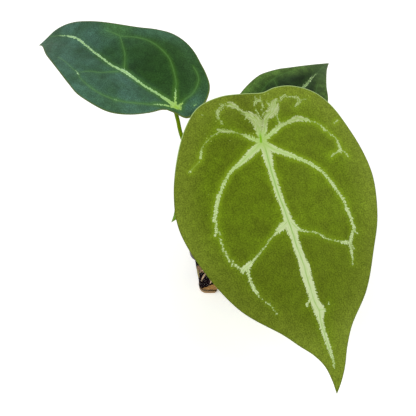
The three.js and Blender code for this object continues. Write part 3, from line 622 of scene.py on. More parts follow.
def makeBlade(key, material, slot):
    leaf = leaves[key]
    points, triangles, margin = planeMesh(leaf)
    junction, length, along, across, face, seat = leafFrame(leaf)
    u, v = points[:, 0], points[:, 1]
    count = len(points)
    silver = np.full(count, 1e9)
    vein = np.full(count, 1e9)
    groove = np.zeros(count)
    rib = np.zeros(count)
    flow = np.zeros((count, 3))  # along the nearest vein, across it, and which vein
    for number, (name, route) in enumerate(leaf["veins"].items()):
        line = throughPoints(route, 4)
        inset = blade["raggedInset"] if name in blade["ragged"] else leaf["silverInset"]
        line[:, 2] -= inset * smoothStep(line[:, 2], 0.3, 1.2)
        near, free, side, run = distanceTo(points, line)
        strength = blade["ribbed"].get(name, blade["faint"]) * np.clip(1 - u / (1.1 * length), 0.15, 1)
        silver = np.minimum(silver, free)
        closer = near < vein
        flow[closer] = np.column_stack([run, near * side, np.full(count, number * 10.0)])[closer]
        vein = np.minimum(vein, near)
        groove = np.maximum(groove, strength * np.exp(-(near / blade["grooveWidth"]) ** 2))
        rib = np.maximum(rib, strength * np.exp(-(near / blade["ribWidth"]) ** 2))
        if name == "midrib":
            midrib = near * side
    edge = distanceTo(points, margin)[0]
    slit = distanceTo(points, np.array(leaf["slit"], float))[0]
    thin = np.sqrt(1 - (1 - np.clip(edge / blade["edgeRound"], 0, 1)) ** 2)
    thickness = blade["edgeThickness"] + (blade["thickness"] - blade["edgeThickness"]) * thin
    height = bladeHeight(leaf, length, u, v) + marginWave(leaf, points)
    body = smoothStep(edge, 0, blade["calmEdge"])
    height += blade["puff"] * (1 - np.exp(-(vein / blade["puffWidth"]) ** 2)) * body
    upper = height - (blade["thickness"] - thickness) / 2 - blade["groove"] * groove * body
    lower = height - blade["thickness"] + (blade["thickness"] - thickness) / 2 - blade["rib"] * rib * body
    places = [np.array(junction) + np.column_stack([u, v, h]) @ np.array([along, across, face])
              for h in (upper, lower)]
    rim = rimEdges(triangles)
    walls = [np.column_stack([rim[:, 0], rim[:, 0] + count, rim[:, 1] + count]),
             np.column_stack([rim[:, 0], rim[:, 1] + count, rim[:, 1]])]
    allTriangles = np.vstack([triangles, triangles[:, ::-1] + count, *walls])
    data = meshFrom("blade_" + key, np.vstack(places) * mm, allTriangles)
    under = np.r_[np.zeros(count), np.ones(count)]
    fields = {"silver": silver, "vein": vein, "midrib": midrib, "margin": edge, "slit": slit}
    for name, values in fields.items():
        setField(data, name, np.clip(np.r_[values, values], -blade["farthest"], blade["farthest"]))
    setField(data, "under", under)
    setField(data, "leafPlane", np.column_stack([np.r_[u, u], np.r_[v, v], under * blade["underShift"]]))
    setField(data, "flow", np.vstack([flow, flow]))
    addPiece("blade_" + key, data, material, slot, "leaf_" + key)
    print("blade", key, "ready:", len(allTriangles), "triangles")


# how each age of leaf is coloured, as sRGB hex; spans in mm from the vein, the margin or the stalk
youngLook = {
    "deep": "586812", "bright": "6F8C14", "edge": "778829", "edgeSpan": 20, "shade": "525F0E",
    "net": "4E5E10", "netStrength": 0.32, "nearVein": 5, "drift": 0.075, "grain": 0.32, "mottle": 0.09,
    "line": "A8C866", "lineThin": 0.22, "glow": "88A420", "lineGlow": 0.5, "glint": "B4C860",
    "silver": "D0DCAE", "silverGreen": "BCD68A", "fan": "B4C08C", "midline": "8FB858",
    "heart": "A8C866", "heartSpan": 9, "cell": 1.0, "teeth": 0.45, "fanFray": 1.0, "flecks": 0.85,
    "rim": "BCD88E", "rimFar": "58620E", "rimStrength": 0.9, "rimWidth": 0.6, "junction": "7CB404",
    "under": "93A94C", "underVein": "B9CC7E", "paintedSheen": "7C9030", "paintedSheenStrength": 0.15,
    "sheen": 0.06, "roughness": 0.6,
    "flush": (0, 0, 1, 0),  # a yellower patch: where, how wide and how strong
}
darkLook = dict(
    youngLook, deep="203A1C", bright="2F5620", edge="36582E", shade="1E3418",
    net="1C3016", netStrength=0.08, nearVein=4, drift=0, grain=0.3, mottle=0.14,
    line="7CB068", lineThin=0.25, glow="4E7E26", lineGlow=0.55, glint="A8D0A0",
    silver="C6EAC0", silverGreen="B2DC98", fan="A8D490", midline="94C06C",
    heart="A4CC48", heartSpan=13, cell=0.9, teeth=0.2, fanFray=0, flecks=0,
    rim="747E24", rimFar="56662A", rimWidth=1.0, junction="9AC444",
    under="6E8B52", underVein="9DB877", paintedSheen="547E70", paintedSheenStrength=0.72,
    sheen=0.1, roughness=0.55, flush=(60, -24, 16, 0.45))
backLook = dict(
    darkLook, deep="101D09", bright="20370F", edge="54732E", edgeSpan=11, drift=0.28, mottle=0.3,
    lineThin=0.12, glow="3C6018", lineGlow=0.3, silver="C4DCA4", silverGreen="98BC70", midline="4C7028",
    teeth=0.3, fanFray=2.2, paintedSheen="4E7442", paintedSheenStrength=0.14, sheen=0.04, flush=(0, 0, 1, 0))
smallLook = dict(
    youngLook, deep="5A7A12", bright="66860E", edge="688A1E", shade="4E6E08",
    net="4A6808", netStrength=0.12, nearVein=4, drift=0, grain=0.24, mottle=0.1,
    line="9CC46A", lineThin=0.4, glow="76A01C", lineGlow=0.35, glint="B4D060",
    silver="BEDB9A", silverGreen="AAD680", fan="AAD680", midline="8CC060",
    heart="9CC46A", cell=0.8, teeth=0.25, fanFray=0, flecks=0,
    rim="A8C070", rimFar="6A8222", rimStrength=0.7, junction="86B41C",
    under="8CAA4E", underVein="B0CC7A", paintedSheen="6C9030", paintedSheenStrength=0.1, sheen=0.04, roughness=0.55)


def bladeMaterial(name, look):
    # live velvety leaf: matt, with short hairs that catch light at a slant, and silver where
    # air lies under the skin along the veins, streaked lengthwise and toothed at its edge
    add, lay, finish = newMaterial(name)
    product = functools.partial(combined, add, times)
    most = functools.partial(combined, add, larger)
    silver, vein, midrib, margin, slit, under = (
        add("Attribute", {"attribute_name": key}).outputs["Fac"]
        for key in ("silver", "vein", "midrib", "margin", "slit", "under"))
    plane, flow = (
        add("Attribute", {"attribute_name": key}).outputs["Vector"] for key in ("leafPlane", "flow"))
    along, across = add("SeparateXYZ", None, plane).outputs[:2]
    run, offVein, which = add("SeparateXYZ", None, flow).outputs
    fromHeart = add("VectorMath", {"operation": "LENGTH"}, plane)  # from where the stalk joins

    # blotches some 14 mm across, and the velvet's grain, drawn at 0.75 mm so that it shows
    broad = add("TexNoise", None, plane, 1 / 14)
    grain = add("TexNoise", None, plane, 1 / 0.75, 3.0, 0.8)
    mottle = add("TexNoise", None, plane, 1 / 4.5, 4.0, 0.7)
    colour = lay(look["deep"], look["bright"], (broad, 0.3, 0.7, 0.1, 0.55))
    colour = lay(colour, look["bright"], (vein, 0, look["nearVein"], 0.8, 0))
    colour = lay(colour, look["edge"], (margin, 0, look["edgeSpan"], 0.9, 0))
    # painted shade: darker behind the stalk and down the middle of the blade, where it slopes away from the
    # light
    offMiddle = add("Math", {"operation": "ABSOLUTE"}, across)
    crownShade = product((along, -4, -9), (offMiddle, 12, 4), 0.6)
    slopeShade = product((along, 45, 75), (along, 118, 95), 0.45)
    colour = lay(colour, look["shade"], most(crownShade, slopeShade))
    # painted sheen of the velvet: bluish where the hairs lie towards the light, over the lower side and the
    # tip
    cloud = add("TexNoise", None, plane, 1 / 22, 3.0)
    drawn = add("Mapping", {"Scale": (0.35, 1, 1), "Rotation": (0, 0, 0.5)}, plane)
    wisp = add("TexNoise", None, drawn, 1 / 4, 3.0)
    heel = product((along, 1, -5), (across, -22, -9, 0.3, 1))
    topEdge = product((margin, 2, 9, 0.7, 0), (along, 5, 30))
    paintedSheen = most((along, 25, 85), (across, -3, 7), heel, topEdge)
    clouded = product((cloud, 0.35, 0.65, 0.45, 1), (wisp, 0.3, 0.7, 0.7, 1))
    colour = lay(colour, look["paintedSheen"], paintedSheen, clouded, look["paintedSheenStrength"])
    # the fine net of veins between the main ones, about 4 mm a mesh
    warp = add("TexNoise", None, plane, 1 / 3, 1.0).outputs["Color"]
    bent = add("VectorMath", {"operation": "MULTIPLY_ADD"}, warp, (1.6, 1.6, 1.6), plane)
    net = add("TexVoronoi", {"feature": "DISTANCE_TO_EDGE"}, bent, 1 / 4.2)
    colour = lay(colour, look["net"], (net, 0, 0.08, look["netStrength"], 0))
    flushAlong, flushAcross, reach, strength = look["flush"]
    fromFlush = add("VectorMath", {"operation": "DISTANCE"}, plane, (flushAlong, flushAcross, 0))
    colour = lay(colour, look["glow"], (fromFlush, reach * 0.2, reach, strength, 0))
    # grain and mottle darken and lighten, and the right half gets more light
    uneven = product(*[(value, low, high, 1 - look[key], 1 + look[key]) for key, value, low, high in (
        ("grain", grain, 0.38, 0.62), ("mottle", mottle, 0.36, 0.64), ("drift", across, -45, 45))])
    velvet = add("CombineColor", None, uneven, uneven, uneven)
    colour = add("Mix", darken, 1.0, colour, velvet)
    # thin pale line of each side vein, in a band of livelier green
    colour = lay(colour, look["glow"], (silver, -0.3, 3, look["lineGlow"], 0), (along, 80, 10, 0.2, 1),
                 (along, -9, -1, 0.15, 1))
    colour = lay(colour, look["line"], (vein, 0, 0.6, look["lineThin"], 0))
    # loose flecks of silver, half a millimetre across, thicker near the veins and towards the stalk
    flecks = add("TexVoronoi", None, plane, 1 / 2.6)
    picked = add("SeparateColor", None, flecks.outputs["Color"])
    colour = lay(colour, look["glint"], (flecks, 0.08, 0.15, 1, 0), (picked, 0.8, 0.84),
                 (silver, 0.5, 8, 1, 0.15), (along, 45, 5, 0.3, 1), look["flecks"])
    # silver: teeth slant forward off the vein, streaks run along it, and grain frays its edge
    slant = add("Math", minus, run, product(vein, 0.7))
    side = product(add("Math", {"operation": "SIGN"}, offVein), 5.0)
    comb = add("CombineXYZ", None, slant, side, which)
    teeth = add("TexNoise", None, comb, 1 / look["cell"], 1.5, 0.7)
    strands = add("CombineXYZ", None, product(run, 0.22), product(offVein, 1.9), which)
    streak = add("TexNoise", None, strands, 1.0, 3.0, 0.6)
    tooth, torn, fray = (add("Math", minus, noise, 0.5) for noise in (teeth, streak, grain))
    tatter = product(most(torn, 0.0), 12 * look["fanFray"], (along, -8, -15, 0.25, 1))
    edge = combined(add, plus, silver, product(tooth, 9 * look["teeth"]), tatter, product(fray, 1.6))
    silverMask = product((edge, -0.14, 0.1, 1, 0))
    behind = (along, -3, -8)
    tone = lay(look["silver"], look["silverGreen"], (vein, 0.3, 2.2, 1, 0.1), (fromHeart, 12, 60, 0.9, 0.3))
    tone = lay(tone, look["fan"], behind, 0.75)
    tone = lay(tone, look["line"], (streak, 0.46, 0.6, 0, 0.38))
    tone = lay(tone, look["glow"], behind, (streak, 0.43, 0.58, 0, 0.6))  # green between the fans' streaks
    tone = lay(tone, look["midline"], (vein, 0.1, 0.38, 0.5, 0))
    tone = lay(tone, look["heart"], (fromHeart, 1, look["heartSpan"], 0.65, 0))
    colour = lay(colour, tone, silverMask)
    colour = lay(colour, look["junction"], (slit, 0.25, 1, 0.95, 0), (along, -6, -2, 0.25, 1))
    offMidrib = add("Math", {"operation": "ABSOLUTE"}, midrib)
    colour = lay(colour, look["midline"], (offMidrib, 0.1, 0.6, 0.7, 0), (fromHeart, 2.5, 8),
                 (fromHeart, 40, 90, 1, 0.45), silverMask)
    # rolled margin, paler round the lobes behind the stalk: partly the edge's own paler colour, partly a
    # painted highlight where the rolled edge catches the light
    rimTone = lay(look["rim"], look["rimFar"], (along, -12, 14))
    colour = lay(colour, rimTone, (margin, 0.1, look["rimWidth"], look["rimStrength"], 0))
    # paler underside with lighter ribs
    below = lay(look["under"], look["underVein"], (vein, 0.3, 1.6, 1, 0))
    colour = lay(colour, add("Mix", darken, 1.0, below, velvet), under)
    # hairs and net as fine relief; the silver is a little glossier
    hairs = add("TexNoise", None, plane, 1 / 0.45)
    relief = combined(add, plus, product(hairs, 0.35), product((net, 0, 0.12), 0.25))
    rough = product((silverMask, 0, 1, look["roughness"], look["roughness"] - 0.12))
    return finish({
        "Base Color": colour, "Roughness": rough, "Specular IOR Level": 0.25,
        "Specular Tint": look["glint"], "Sheen Weight": look["sheen"], "Sheen Roughness": 0.45,
        "Sheen Tint": look["glint"]}, relief, 0.35, 0.25)


darkBlade = bladeMaterial("mature velvet leaf, dark green", darkLook)
makeBlade("front", bladeMaterial("young velvet leaf, yellow green", youngLook), "young_leaf")
makeBlade("left", darkBlade, "dark_leaf")
makeBlade("back", bladeMaterial("mature velvet leaf, warm dark green", backLook), "dark_leaf")
makeBlade("small", bladeMaterial("new leaf, fresh green", smallLook), "small_leaf")


def growTree(name, inputs):
    # a geometry node group with named inputs, and what adds a node to it
    tree = bpy.data.node_groups.new(name, "GeometryNodeTree")
    tree.interface.new_socket("Geometry", in_out="INPUT", socket_type="NodeSocketGeometry")
    tree.interface.new_socket("Geometry", in_out="OUTPUT", socket_type="NodeSocketGeometry")
    for label, (kind, value) in inputs.items():
        socket = tree.interface.new_socket(label, in_out="INPUT", socket_type="NodeSocket" + kind)
        if value is not None:
            socket.default_value = value
    add = functools.partial(addNode, tree)
    return tree, add, add("NodeGroupInput").outputs


def closeTree(add, geometry, material):
    # every group ends the same way: real mesh, with its material on it
    real = add("GeometryNodeRealizeInstances", None, geometry)
    painted = add("GeometryNodeSetMaterial", {"Material": material}, real)
    add("NodeGroupOutput", None, painted)


def grow(name, data, tree, values):
    # runs a group on a mesh and keeps what comes out as a plain mesh
    base = addObject(name + "Seed", data)
    modifier = base.modifiers.new("grow", "NODES")
    modifier.node_group = tree
    for item in tree.interface.items_tree:
        if item.in_out == "INPUT" and item.name in values:
            modifier[item.identifier] = values[item.name]
    made = evaluated(base, preserve_all_data_layers=True)
    bpy.data.objects.remove(base)
    return made


def pathMesh(name, routes, girths):
    # routes as chains of edges, each point with its own girth and its share of the way along
    points, edges, girth, along = [], [], [], []
    for route, thick in zip(routes, girths):
        first = len(points)
        points.extend(np.asarray(route) * mm)
        edges.extend((first + i, first + i + 1) for i in range(len(route) - 1))
        girth.extend(thick)
        along.extend(np.linspace(0, 1, len(route)))
    data = bpy.data.meshes.new(name)
    data.from_pydata([tuple(p) for p in points], edges, [])
    setField(data, "girth", girth)
    setField(data, "along", along)
    return data


def makeTubeTree():
    # a round tube along each path, with a knobbly skin
    tree, add, given = growTree("tube", {
        "Radius": ("Float", 0.001), "Sides": ("Int", 16), "Knobbly": ("Float", 0.0),
        "Knob Size": ("Float", 0.004), "Material": ("Material", None)})
    curve = add("GeometryNodeMeshToCurve", None, given["Geometry"])
    ring = add("GeometryNodeCurvePrimitiveCircle", {"Resolution": given["Sides"], "Radius": given["Radius"]})
    girth = add("GeometryNodeInputNamedAttribute", {"Name": "girth"})
    tube = add("GeometryNodeCurveToMesh", {"Fill Caps": True, "Scale": girth}, curve, ring)
    perKnob = add("ShaderNodeMath", {"operation": "DIVIDE"}, 1.0, given["Knob Size"])
    noise = add("ShaderNodeTexNoise", {"Scale": perKnob}, add("GeometryNodeInputPosition"))
    centred = add("ShaderNodeMath", minus, noise, 0.5)
    depth = add("ShaderNodeMath", times, centred, given["Knobbly"])
    push = add("ShaderNodeVectorMath", {"operation": "SCALE", "Scale": depth}, add("GeometryNodeInputNormal"))
    moved = add("GeometryNodeSetPosition", {"Offset": push}, tube)
    closeTree(add, add("GeometryNodeSetShadeSmooth", {"Shade Smooth": True}, moved), given["Material"])
    return tree


# Stalks. Routes in mm from the stem's top to each leaf's seat, and how the girth changes on the way.
stalk = {
    "radius": 1.2,
    "footSwell": 1.5, "footSpan": 0.45,  # spans as shares of the way up
    "headSwell": 1.12, "headFrom": 0.8, "headTo": 0.93,
    "seatDepth": 0.3,  # how far under the blade's upper face the stalk ends
    "headBelow": 2.9,  # the last route point's distance under the blade
    "steps": 14, "sides": 18, "knobDepth": 0.12, "knobSize": 3.0,
    "skin": "668000", "skinPale": "749000", "skinFoot": "6E5E2A", "skinKnob": "527004", "gloss": "B8D040",
    "routes": {
        "front": [(-7.7, 0.9, 58), (-5, 1.5, 76), (2.5, 4, 94), (9.2, 3.4, 109)],
        "left": [
            (-12.3, 3.8, 58), (-21, 11.5, 73), (-30.5, 20.5, 88), (-34.7, 26.2, 98.5), (-36.3, 28.8, 107)],
        "back": [(-7.9, 4.4, 58), (-5, 9, 71), (2.5, 20, 84), (9, 30, 91.5)],
        "small": [(-12.2, -0.2, 57), (-13.4, -2.8, 70), (-13.8, -3.6, 84), (-13.4, -2.4, 92)],
    },
}


def stalkMaterial():
    # live green stalk: waxy, with fine lengthwise streaks 0.45 mm wide and a browner foot
    add, lay, finish = newMaterial("leaf stalk, waxy green")
    along = add("Attribute", {"attribute_name": "along"}).outputs["Fac"]
    place = add("TexCoord").outputs["Object"]
    streaks = add("TexNoise", None, add("Mapping", {"Scale": (1, 1, 0.12)}, place), 1 / (0.4545 * mm))
    mottle = add("TexNoise", None, place, 1 / (3.333 * mm), 3.0)
    colour = lay(stalk["skin"], stalk["skinPale"], (streaks, 0.35, 0.7))
    colour = lay(colour, stalk["skinKnob"], (mottle, 0.5, 0.75, 0, 0.5))
    colour = lay(colour, stalk["skinFoot"], (along, 0, 0.16, 0.85, 0))
    return finish({"Base Color": colour, "Roughness": 0.5, "Specular IOR Level": 0.15,
                   "Specular Tint": stalk["gloss"]}, streaks, 0.25, 0.2)


def makeStalk(key, route):
    junction, length, along, across, face, seat = leafFrame(leaves[key])
    ends = [tuple(junction - seat * below) for below in (stalk["headBelow"], stalk["seatDepth"])]
    path = throughPoints(route + ends, stalk["steps"])
    share = np.linspace(0, 1, len(path))
    girth = 1 + (stalk["footSwell"] - 1) * (1 - smoothStep(share, 0, stalk["footSpan"]))
    girth += (stalk["headSwell"] - 1) * smoothStep(share, stalk["headFrom"], stalk["headTo"])
    made = grow("stalk_" + key, pathMesh(key + "Path", [path], [girth]), tubeTree, {
        "Radius": stalk["radius"] * mm, "Sides": stalk["sides"], "Knobbly": stalk["knobDepth"] * mm,
        "Knob Size": stalk["knobSize"] * mm, "Material": stalkSkin})
    addPiece("stalk_" + key, made, stalkSkin, "leaf_stalk", "petiole_" + key)


tubeTree = makeTubeTree()
stalkSkin = stalkMaterial()
for key, route in stalk["routes"].items():
    makeStalk(key, route)
print("stalks ready")

# Stem: a short ringed base in the mix, with dry scales round the stalks' feet and roots from its foot.
stem = {
    "at": (-10, 2), "foot": 33,  # mm
    "profile": [  # radius, height over the foot
        (0, 0), (3.2, 0.5), (4.6, 4), (4.9, 9), (4.5, 13), (4.7, 15), (4.2, 19), (4.5, 22), (4.2, 26),
        (3.4, 28.4), (0.6, 29)],
    "around": 44, "rings": 4.2, "ringDepth": 0.22, "rough": 0.12,
    "bark": "6A5532", "barkDark": "3A2C18", "barkGreen": "6F7A2C",
}
scales = {
    "places": [(-2.2, 16, 0.22), (0.7, 13, 0.3), (2.9, 15, 0.25)],  # turn, height, lean
    "rows": 15, "columns": 9,
    "fromAxis": 3.7, "foot": 48.5, "width": 5.0, "thickness": 0.16,
    "hollow": 0.9, "ripple": 0.18,  # how far the sides curl in, and how wavy the paper is
    "paper": "A98A56", "paperDark": "6B4A22",
}
roots = {
    "radius": 0.9, "sides": 12, "steps": 12, "knobDepth": 0.5, "knobSize": 2.2,
    "routes": [
        [(-11, 1, 38), (-15, -8, 36), (-19, -17, 31), (-21.5, -20.5, 25), (-19, -22.2, 18), (-13, -21.9, 12)],
        [(-9, 1, 37), (1, -10, 35), (8, -19, 31), (12, -23, 25), (8, -22.4, 17), (-1, -21.6, 9.5)],
        [(-8, 3, 38), (7, 4, 36), (19, 7, 32), (23.2, 10, 26), (22.5, 4, 17), (21.4, -4, 10.5)],
        [(-11, 4, 37), (-11, 14, 35), (-10, 22, 31), (-7, 23.1, 25), (0, 22.4, 17), (6, 21.6, 10)],
    ],
    "skin": "C8AA88", "skinDark": "8E7252", "tip": "D8C8A8",
    "clearance": 0.05,  # between a rootlet and the pot's inner wall
    "hairRadius": 0.32, "hairSides": 7, "hairSteps": 9, "hairKnobDepth": 0.3, "hairKnobSize": 1.5,
    "strands": [  # paler fibres pressed on the near corner's wall
        [(-24.2, -25.4, 24.8), (-23, -25.6, 27.6), (-20.9, -25.9, 30.6), (-19.4, -26.2, 32.5)],
        [(-22.5, -24.6, 16.2), (-21.4, -25, 20.5), (-20.2, -25.4, 24.8), (-19.3, -25.8, 28.8)],
        [(-16.9, -24.3, 12.4), (-16.5, -24.6, 15.8), (-16.6, -24.9, 19.4)],
        [(-23, -24.3, 14.4), (-22.4, -24.4, 15.2)],
    ],
    "hairs": [  # thin rootlets flat against the walls
        [(-6, -22, 26), (-9, -24.9, 22), (-13, -24.6, 18), (-8, -24.5, 11)],
        [(-22, -16, 30), (-24.8, -19, 23), (-24.9, -14, 15), (-24.3, -19, 8)],
        [(10, -22, 27), (3, -25, 22), (-4, -24.9, 19), (-9, -24.4, 12)],
        [(14, -22, 22), (19, -24.8, 17), (15, -24.4, 10), (20, -24, 6)],
        [(22, 8, 26), (25.2, 13, 20), (24.8, 5, 14), (24.3, 12, 8)],
        [(-7, 23, 25), (-14, 25, 19), (-8, 24.7, 13), (-16, 24.2, 7)],
        [(6, 22, 22), (14, 25.1, 17), (9, 24.6, 9)],
        [(-22, 6, 30), (-25.2, 1, 22), (-24.8, 9, 15), (-24.3, 3, 8)],
    ],
}


def stemMaterial():
    # old stem: corky, in cells 3 mm wide, brown with green left in it
    add, lay, finish = newMaterial("corky stem base")
    place = add("TexCoord").outputs["Object"]
    blotch = add("TexNoise", None, place, 1 / (2.857 * mm), 4.0)
    green = add("TexNoise", None, place, 1 / (6.25 * mm))
    colour = lay(stem["barkDark"], stem["bark"], (blotch, 0.35, 0.65))
    colour = lay(colour, stem["barkGreen"], (green, 0.5, 0.65, 0, 0.7))
    return finish({"Base Color": colour, "Roughness": 0.85, "Specular IOR Level": 0.25}, blotch, 0.6, 0.5)


def scaleMaterial():
    # dry leaf scale: papery tan with darker fibres lengthwise, 0.4 mm wide
    add, lay, finish = newMaterial("dry papery scale")
    drawn = add("Mapping", {"Scale": (1, 1, 0.1)}, add("TexCoord").outputs["Object"])
    fibres = add("TexNoise", None, drawn, 1 / (0.3846 * mm), 3.0)
    colour = lay(scales["paperDark"], scales["paper"], (fibres, 0.35, 0.65))
    return finish({"Base Color": colour, "Roughness": 0.7, "Specular IOR Level": 0.3}, fibres, 0.5, 0.3)


def rootMaterial():
    # aerial root: pale spongy skin with stains 2 mm wide, and a pale tip
    add, lay, finish = newMaterial("pale spongy root")
    along = add("Attribute", {"attribute_name": "along"}).outputs["Fac"]
    stain = add("TexNoise", None, add("TexCoord").outputs["Object"], 1 / (2.381 * mm), 4.0)
    colour = lay(roots["skin"], roots["skinDark"], (stain, 0.4, 0.65))
    colour = lay(colour, roots["tip"], (along, 0.85, 1))
    return finish({"Base Color": colour, "Roughness": 0.75, "Specular IOR Level": 0.3}, stain, 0.4, 0.3)


def gridFaces(rows, columns, closedAround):
    # quads as triangle pairs over rows of points
    faces = []
    for i in range(rows - 1):
        for j in range(columns if closedAround else columns - 1):
            a, b = i * columns + j, i * columns + (j + 1) % columns
            faces += [(a, b, b + columns), (a, b + columns, a + columns)]
    return faces


def loftSolid(name, rings, middle, smoothFaces):
    # rings from the lowest up, closed below and above round the middle
    count = len(rings[0])
    low = len(rings) * count
    top = low - count
    vertices = [v for ring in rings for v in ring]
    vertices += [(*middle, rings[0][0][2]), (*middle, rings[-1][0][2])]
    faces = gridFaces(len(rings), count, True)
    for j in range(count):
        k = (j + 1) % count
        faces += [(low, k, j), (low + 1, top + j, top + k)]
    return meshFrom(name, np.array(vertices) * mm, np.array(faces), smoothFaces)


def makeStem():
    # rings of scars where old leaves fell, each a little out of round
    turns = np.arange(stem["around"]) * 2 * math.pi / stem["around"]
    random = np.random.default_rng(7)
    lumps = random.normal(0, 1, (5, 3))
    rings = []
    for r, h in throughPoints(stem["profile"], 8):
        ringed = np.abs(np.sin(math.pi * (h / stem["rings"] + 0.12 * np.sin(turns)))) ** 0.4
        wobble = sum(a * np.sin((k + 2) * turns + b + c * h * 0.4) for k, (a, b, c) in enumerate(lumps)) / 5
        grown = np.maximum(r * (1 + stem["rough"] * wobble) - stem["ringDepth"] * (1 - ringed), 0.02)
        rings.append([(stem["at"][0] + g * math.cos(t), stem["at"][1] + g * math.sin(t), stem["foot"] + h)
                      for g, t in zip(grown, turns)])
    return loftSolid("stem", rings, stem["at"], True)


def makeScales():
    # each scale is a thin pointed sheet, hollow towards the stem
    rows, columns = scales["rows"], scales["columns"]
    size = rows * columns
    inner = gridFaces(rows, columns, False)
    rim = list(range(columns)) + [i * columns + columns - 1 for i in range(1, rows)]
    rim += [(rows - 1) * columns + j for j in range(columns - 2, -1, -1)]
    rim += [i * columns for i in range(rows - 2, 0, -1)]
    vertices, faces = [], []
    for turn, tall, lean in scales["places"]:
        first = len(vertices)
        for side in (0, 1):
            for i in range(rows):
                s = i / (rows - 1)
                wide = scales["width"] * (0.35 + 0.9 * s - 1.25 * s ** 2.2) * 0.5 + 0.05
                for j in range(columns):
                    w = j / (columns - 1) * 2 - 1
                    out = scales["fromAxis"] + math.tan(lean) * tall * s ** 1.6
                    out += side * scales["thickness"] - scales["hollow"] * w * w * (1 - 0.4 * s)
                    out += scales["ripple"] * math.sin(9 * s + 5 * w + turn)
                    x = out * math.cos(turn) - w * wide * math.sin(turn)
                    y = out * math.sin(turn) + w * wide * math.cos(turn)
                    vertices.append((stem["at"][0] + x, stem["at"][1] + y, scales["foot"] + tall * s))
        faces += [tuple(first + k for k in reversed(f)) for f in inner]
        faces += [tuple(first + size + k for k in f) for f in inner]
        for a, b in zip(rim, rim[1:] + rim[:1]):
            a, b = first + a, first + b
            faces += [(a, b, b + size), (a, b + size, a + size)]
    return meshFrom("scales", np.array(vertices) * mm, np.array(faces))


def makeRoots():
    # thick roots taper towards their tips
    paths = [throughPoints(route, roots["steps"]) for route in roots["routes"]]
    girths = [1.15 - 0.55 * np.linspace(0, 1, len(path)) ** 2 for path in paths]
    return grow("roots", pathMesh("rootPaths", paths, girths), tubeTree, {
        "Radius": roots["radius"] * mm, "Sides": roots["sides"], "Knobbly": roots["knobDepth"] * mm,
        "Knob Size": roots["knobSize"] * mm, "Material": rootSkin})


def makeRootlets():
    # rootlets taper, strands are thickest in the middle
    paths = [throughPoints(route, roots["hairSteps"]) for route in roots["hairs"]]
    girths = [1.2 - 0.7 * np.linspace(0, 1, len(path)) for path in paths]
    strands = [throughPoints(route, roots["hairSteps"]) for route in roots["strands"]]
    girths += [1.1 + 0.8 * np.sin(np.linspace(0.3, 2.9, len(path))) for path in strands]
    return grow("rootlets", pathMesh("hairPaths", paths + strands, girths), tubeTree, {
        "Radius": roots["hairRadius"] * mm, "Sides": roots["hairSides"],
        "Knobbly": roots["hairKnobDepth"] * mm, "Knob Size": roots["hairKnobSize"] * mm,
        "Material": rootSkin})


rootSkin = rootMaterial()
addPiece("stem_base", makeStem(), stemMaterial(), "stem_and_roots", "stem")
addPiece("dry_scales", makeScales(), scaleMaterial(), "stem_and_roots", "stem")
addPiece("roots", makeRoots(), rootSkin, "stem_and_roots", "stem")
print("stem, scales and roots grown")

# Pot: square clear nursery pot. Half widths and heights in mm.
pot = {
    "height": 50, "baseHalf": 24.2, "wallTopHalf": 28.2, "rimHalf": 30.2, "rimDrop": 6,
    "baseCorner": 5, "rimCorner": 8, "wall": 0.5, "floor": 0.6, "cornerSteps": 12,
    "pocketFoot": 29, "pocketTop": 23, "pocketHeight": 5, "pocketDepth": 8,
    "slotWidth": 11, "slotHeight": 2.4, "slotRise": 1.9, "slotDepth": 7,
    "sharpEdge": 28,  # degrees
    "clear": "2A2624", "scuff": "6C6C6A",
    "rimTone": "3A302B", "rimFilm": 0.62, "rimFrom": 42.5, "rimTo": 45.5,
    "stain": 0.9, "rimShadeAt": (-27.5, -28.0, 46.5), "rimShadeFrom": 4, "rimShadeTo": 8,  # painted shade on a corner of the rim
    "footTone": "9C7A4C", "footFilm": 0.45, "footFrom": 2.6, "footTo": 1.0,
    "fines": 0.93, "finesAt": (-18.0, -23.0, 0.0), "finesFrom": 9.6, "finesTo": 16, "finesRise": 4.2,
}


def wallHalf(z):
    return pot["baseHalf"] + (pot["wallTopHalf"] - pot["baseHalf"]) * z / (pot["height"] - pot["rimDrop"])


def potCorner(z):
    return pot["baseCorner"] + (pot["rimCorner"] - pot["baseCorner"]) * z / pot["height"]


def squareRing(half, corner, z):
    ring = []
    for quarter in range(4):
        turn = quarter * math.pi / 2
        for i in range(pot["cornerSteps"] + 1):
            a = i / pot["cornerSteps"] * math.pi / 2
            x, y = half - corner + corner * math.cos(a), half - corner + corner * math.sin(a)
            ring.append((x * math.cos(turn) - y * math.sin(turn), x * math.sin(turn) + y * math.cos(turn), z))
    return ring


def prismSolid(lower, upper):
    # a solid between two loops with the same number of corners
    count = len(lower)
    faces = [tuple(range(count))[::-1], tuple(range(count, 2 * count))]
    faces += [(i, (i + 1) % count, count + (i + 1) % count, count + i) for i in range(count)]
    data = bpy.data.meshes.new("prism")
    data.from_pydata([tuple(c * mm for c in p) for p in lower + upper], [], faces)
    return data


def facesOut(data):
    made = bmesh.new()
    made.from_mesh(data)
    bmesh.ops.remove_doubles(made, verts=made.verts, dist=1e-7)
    bmesh.ops.recalc_face_normals(made, faces=made.faces)
    made.to_mesh(data)
    made.free()
    return data


def cutBy(name, base, cutters):
    # the base mesh with the cutter meshes taken out of it
    body = addObject(name, facesOut(base))
    tools = []
    for i, data in enumerate(cutters):
        tools.append(addObject(f"{name}Cutter{i}", facesOut(data)))
        cut = body.modifiers.new(f"cut{i}", "BOOLEAN")
        cut.operation = "DIFFERENCE"
        cut.solver = "EXACT"
        cut.object = tools[-1]
    made = evaluated(body)
    for spare in [body] + tools:
        bpy.data.objects.remove(spare)
    return made


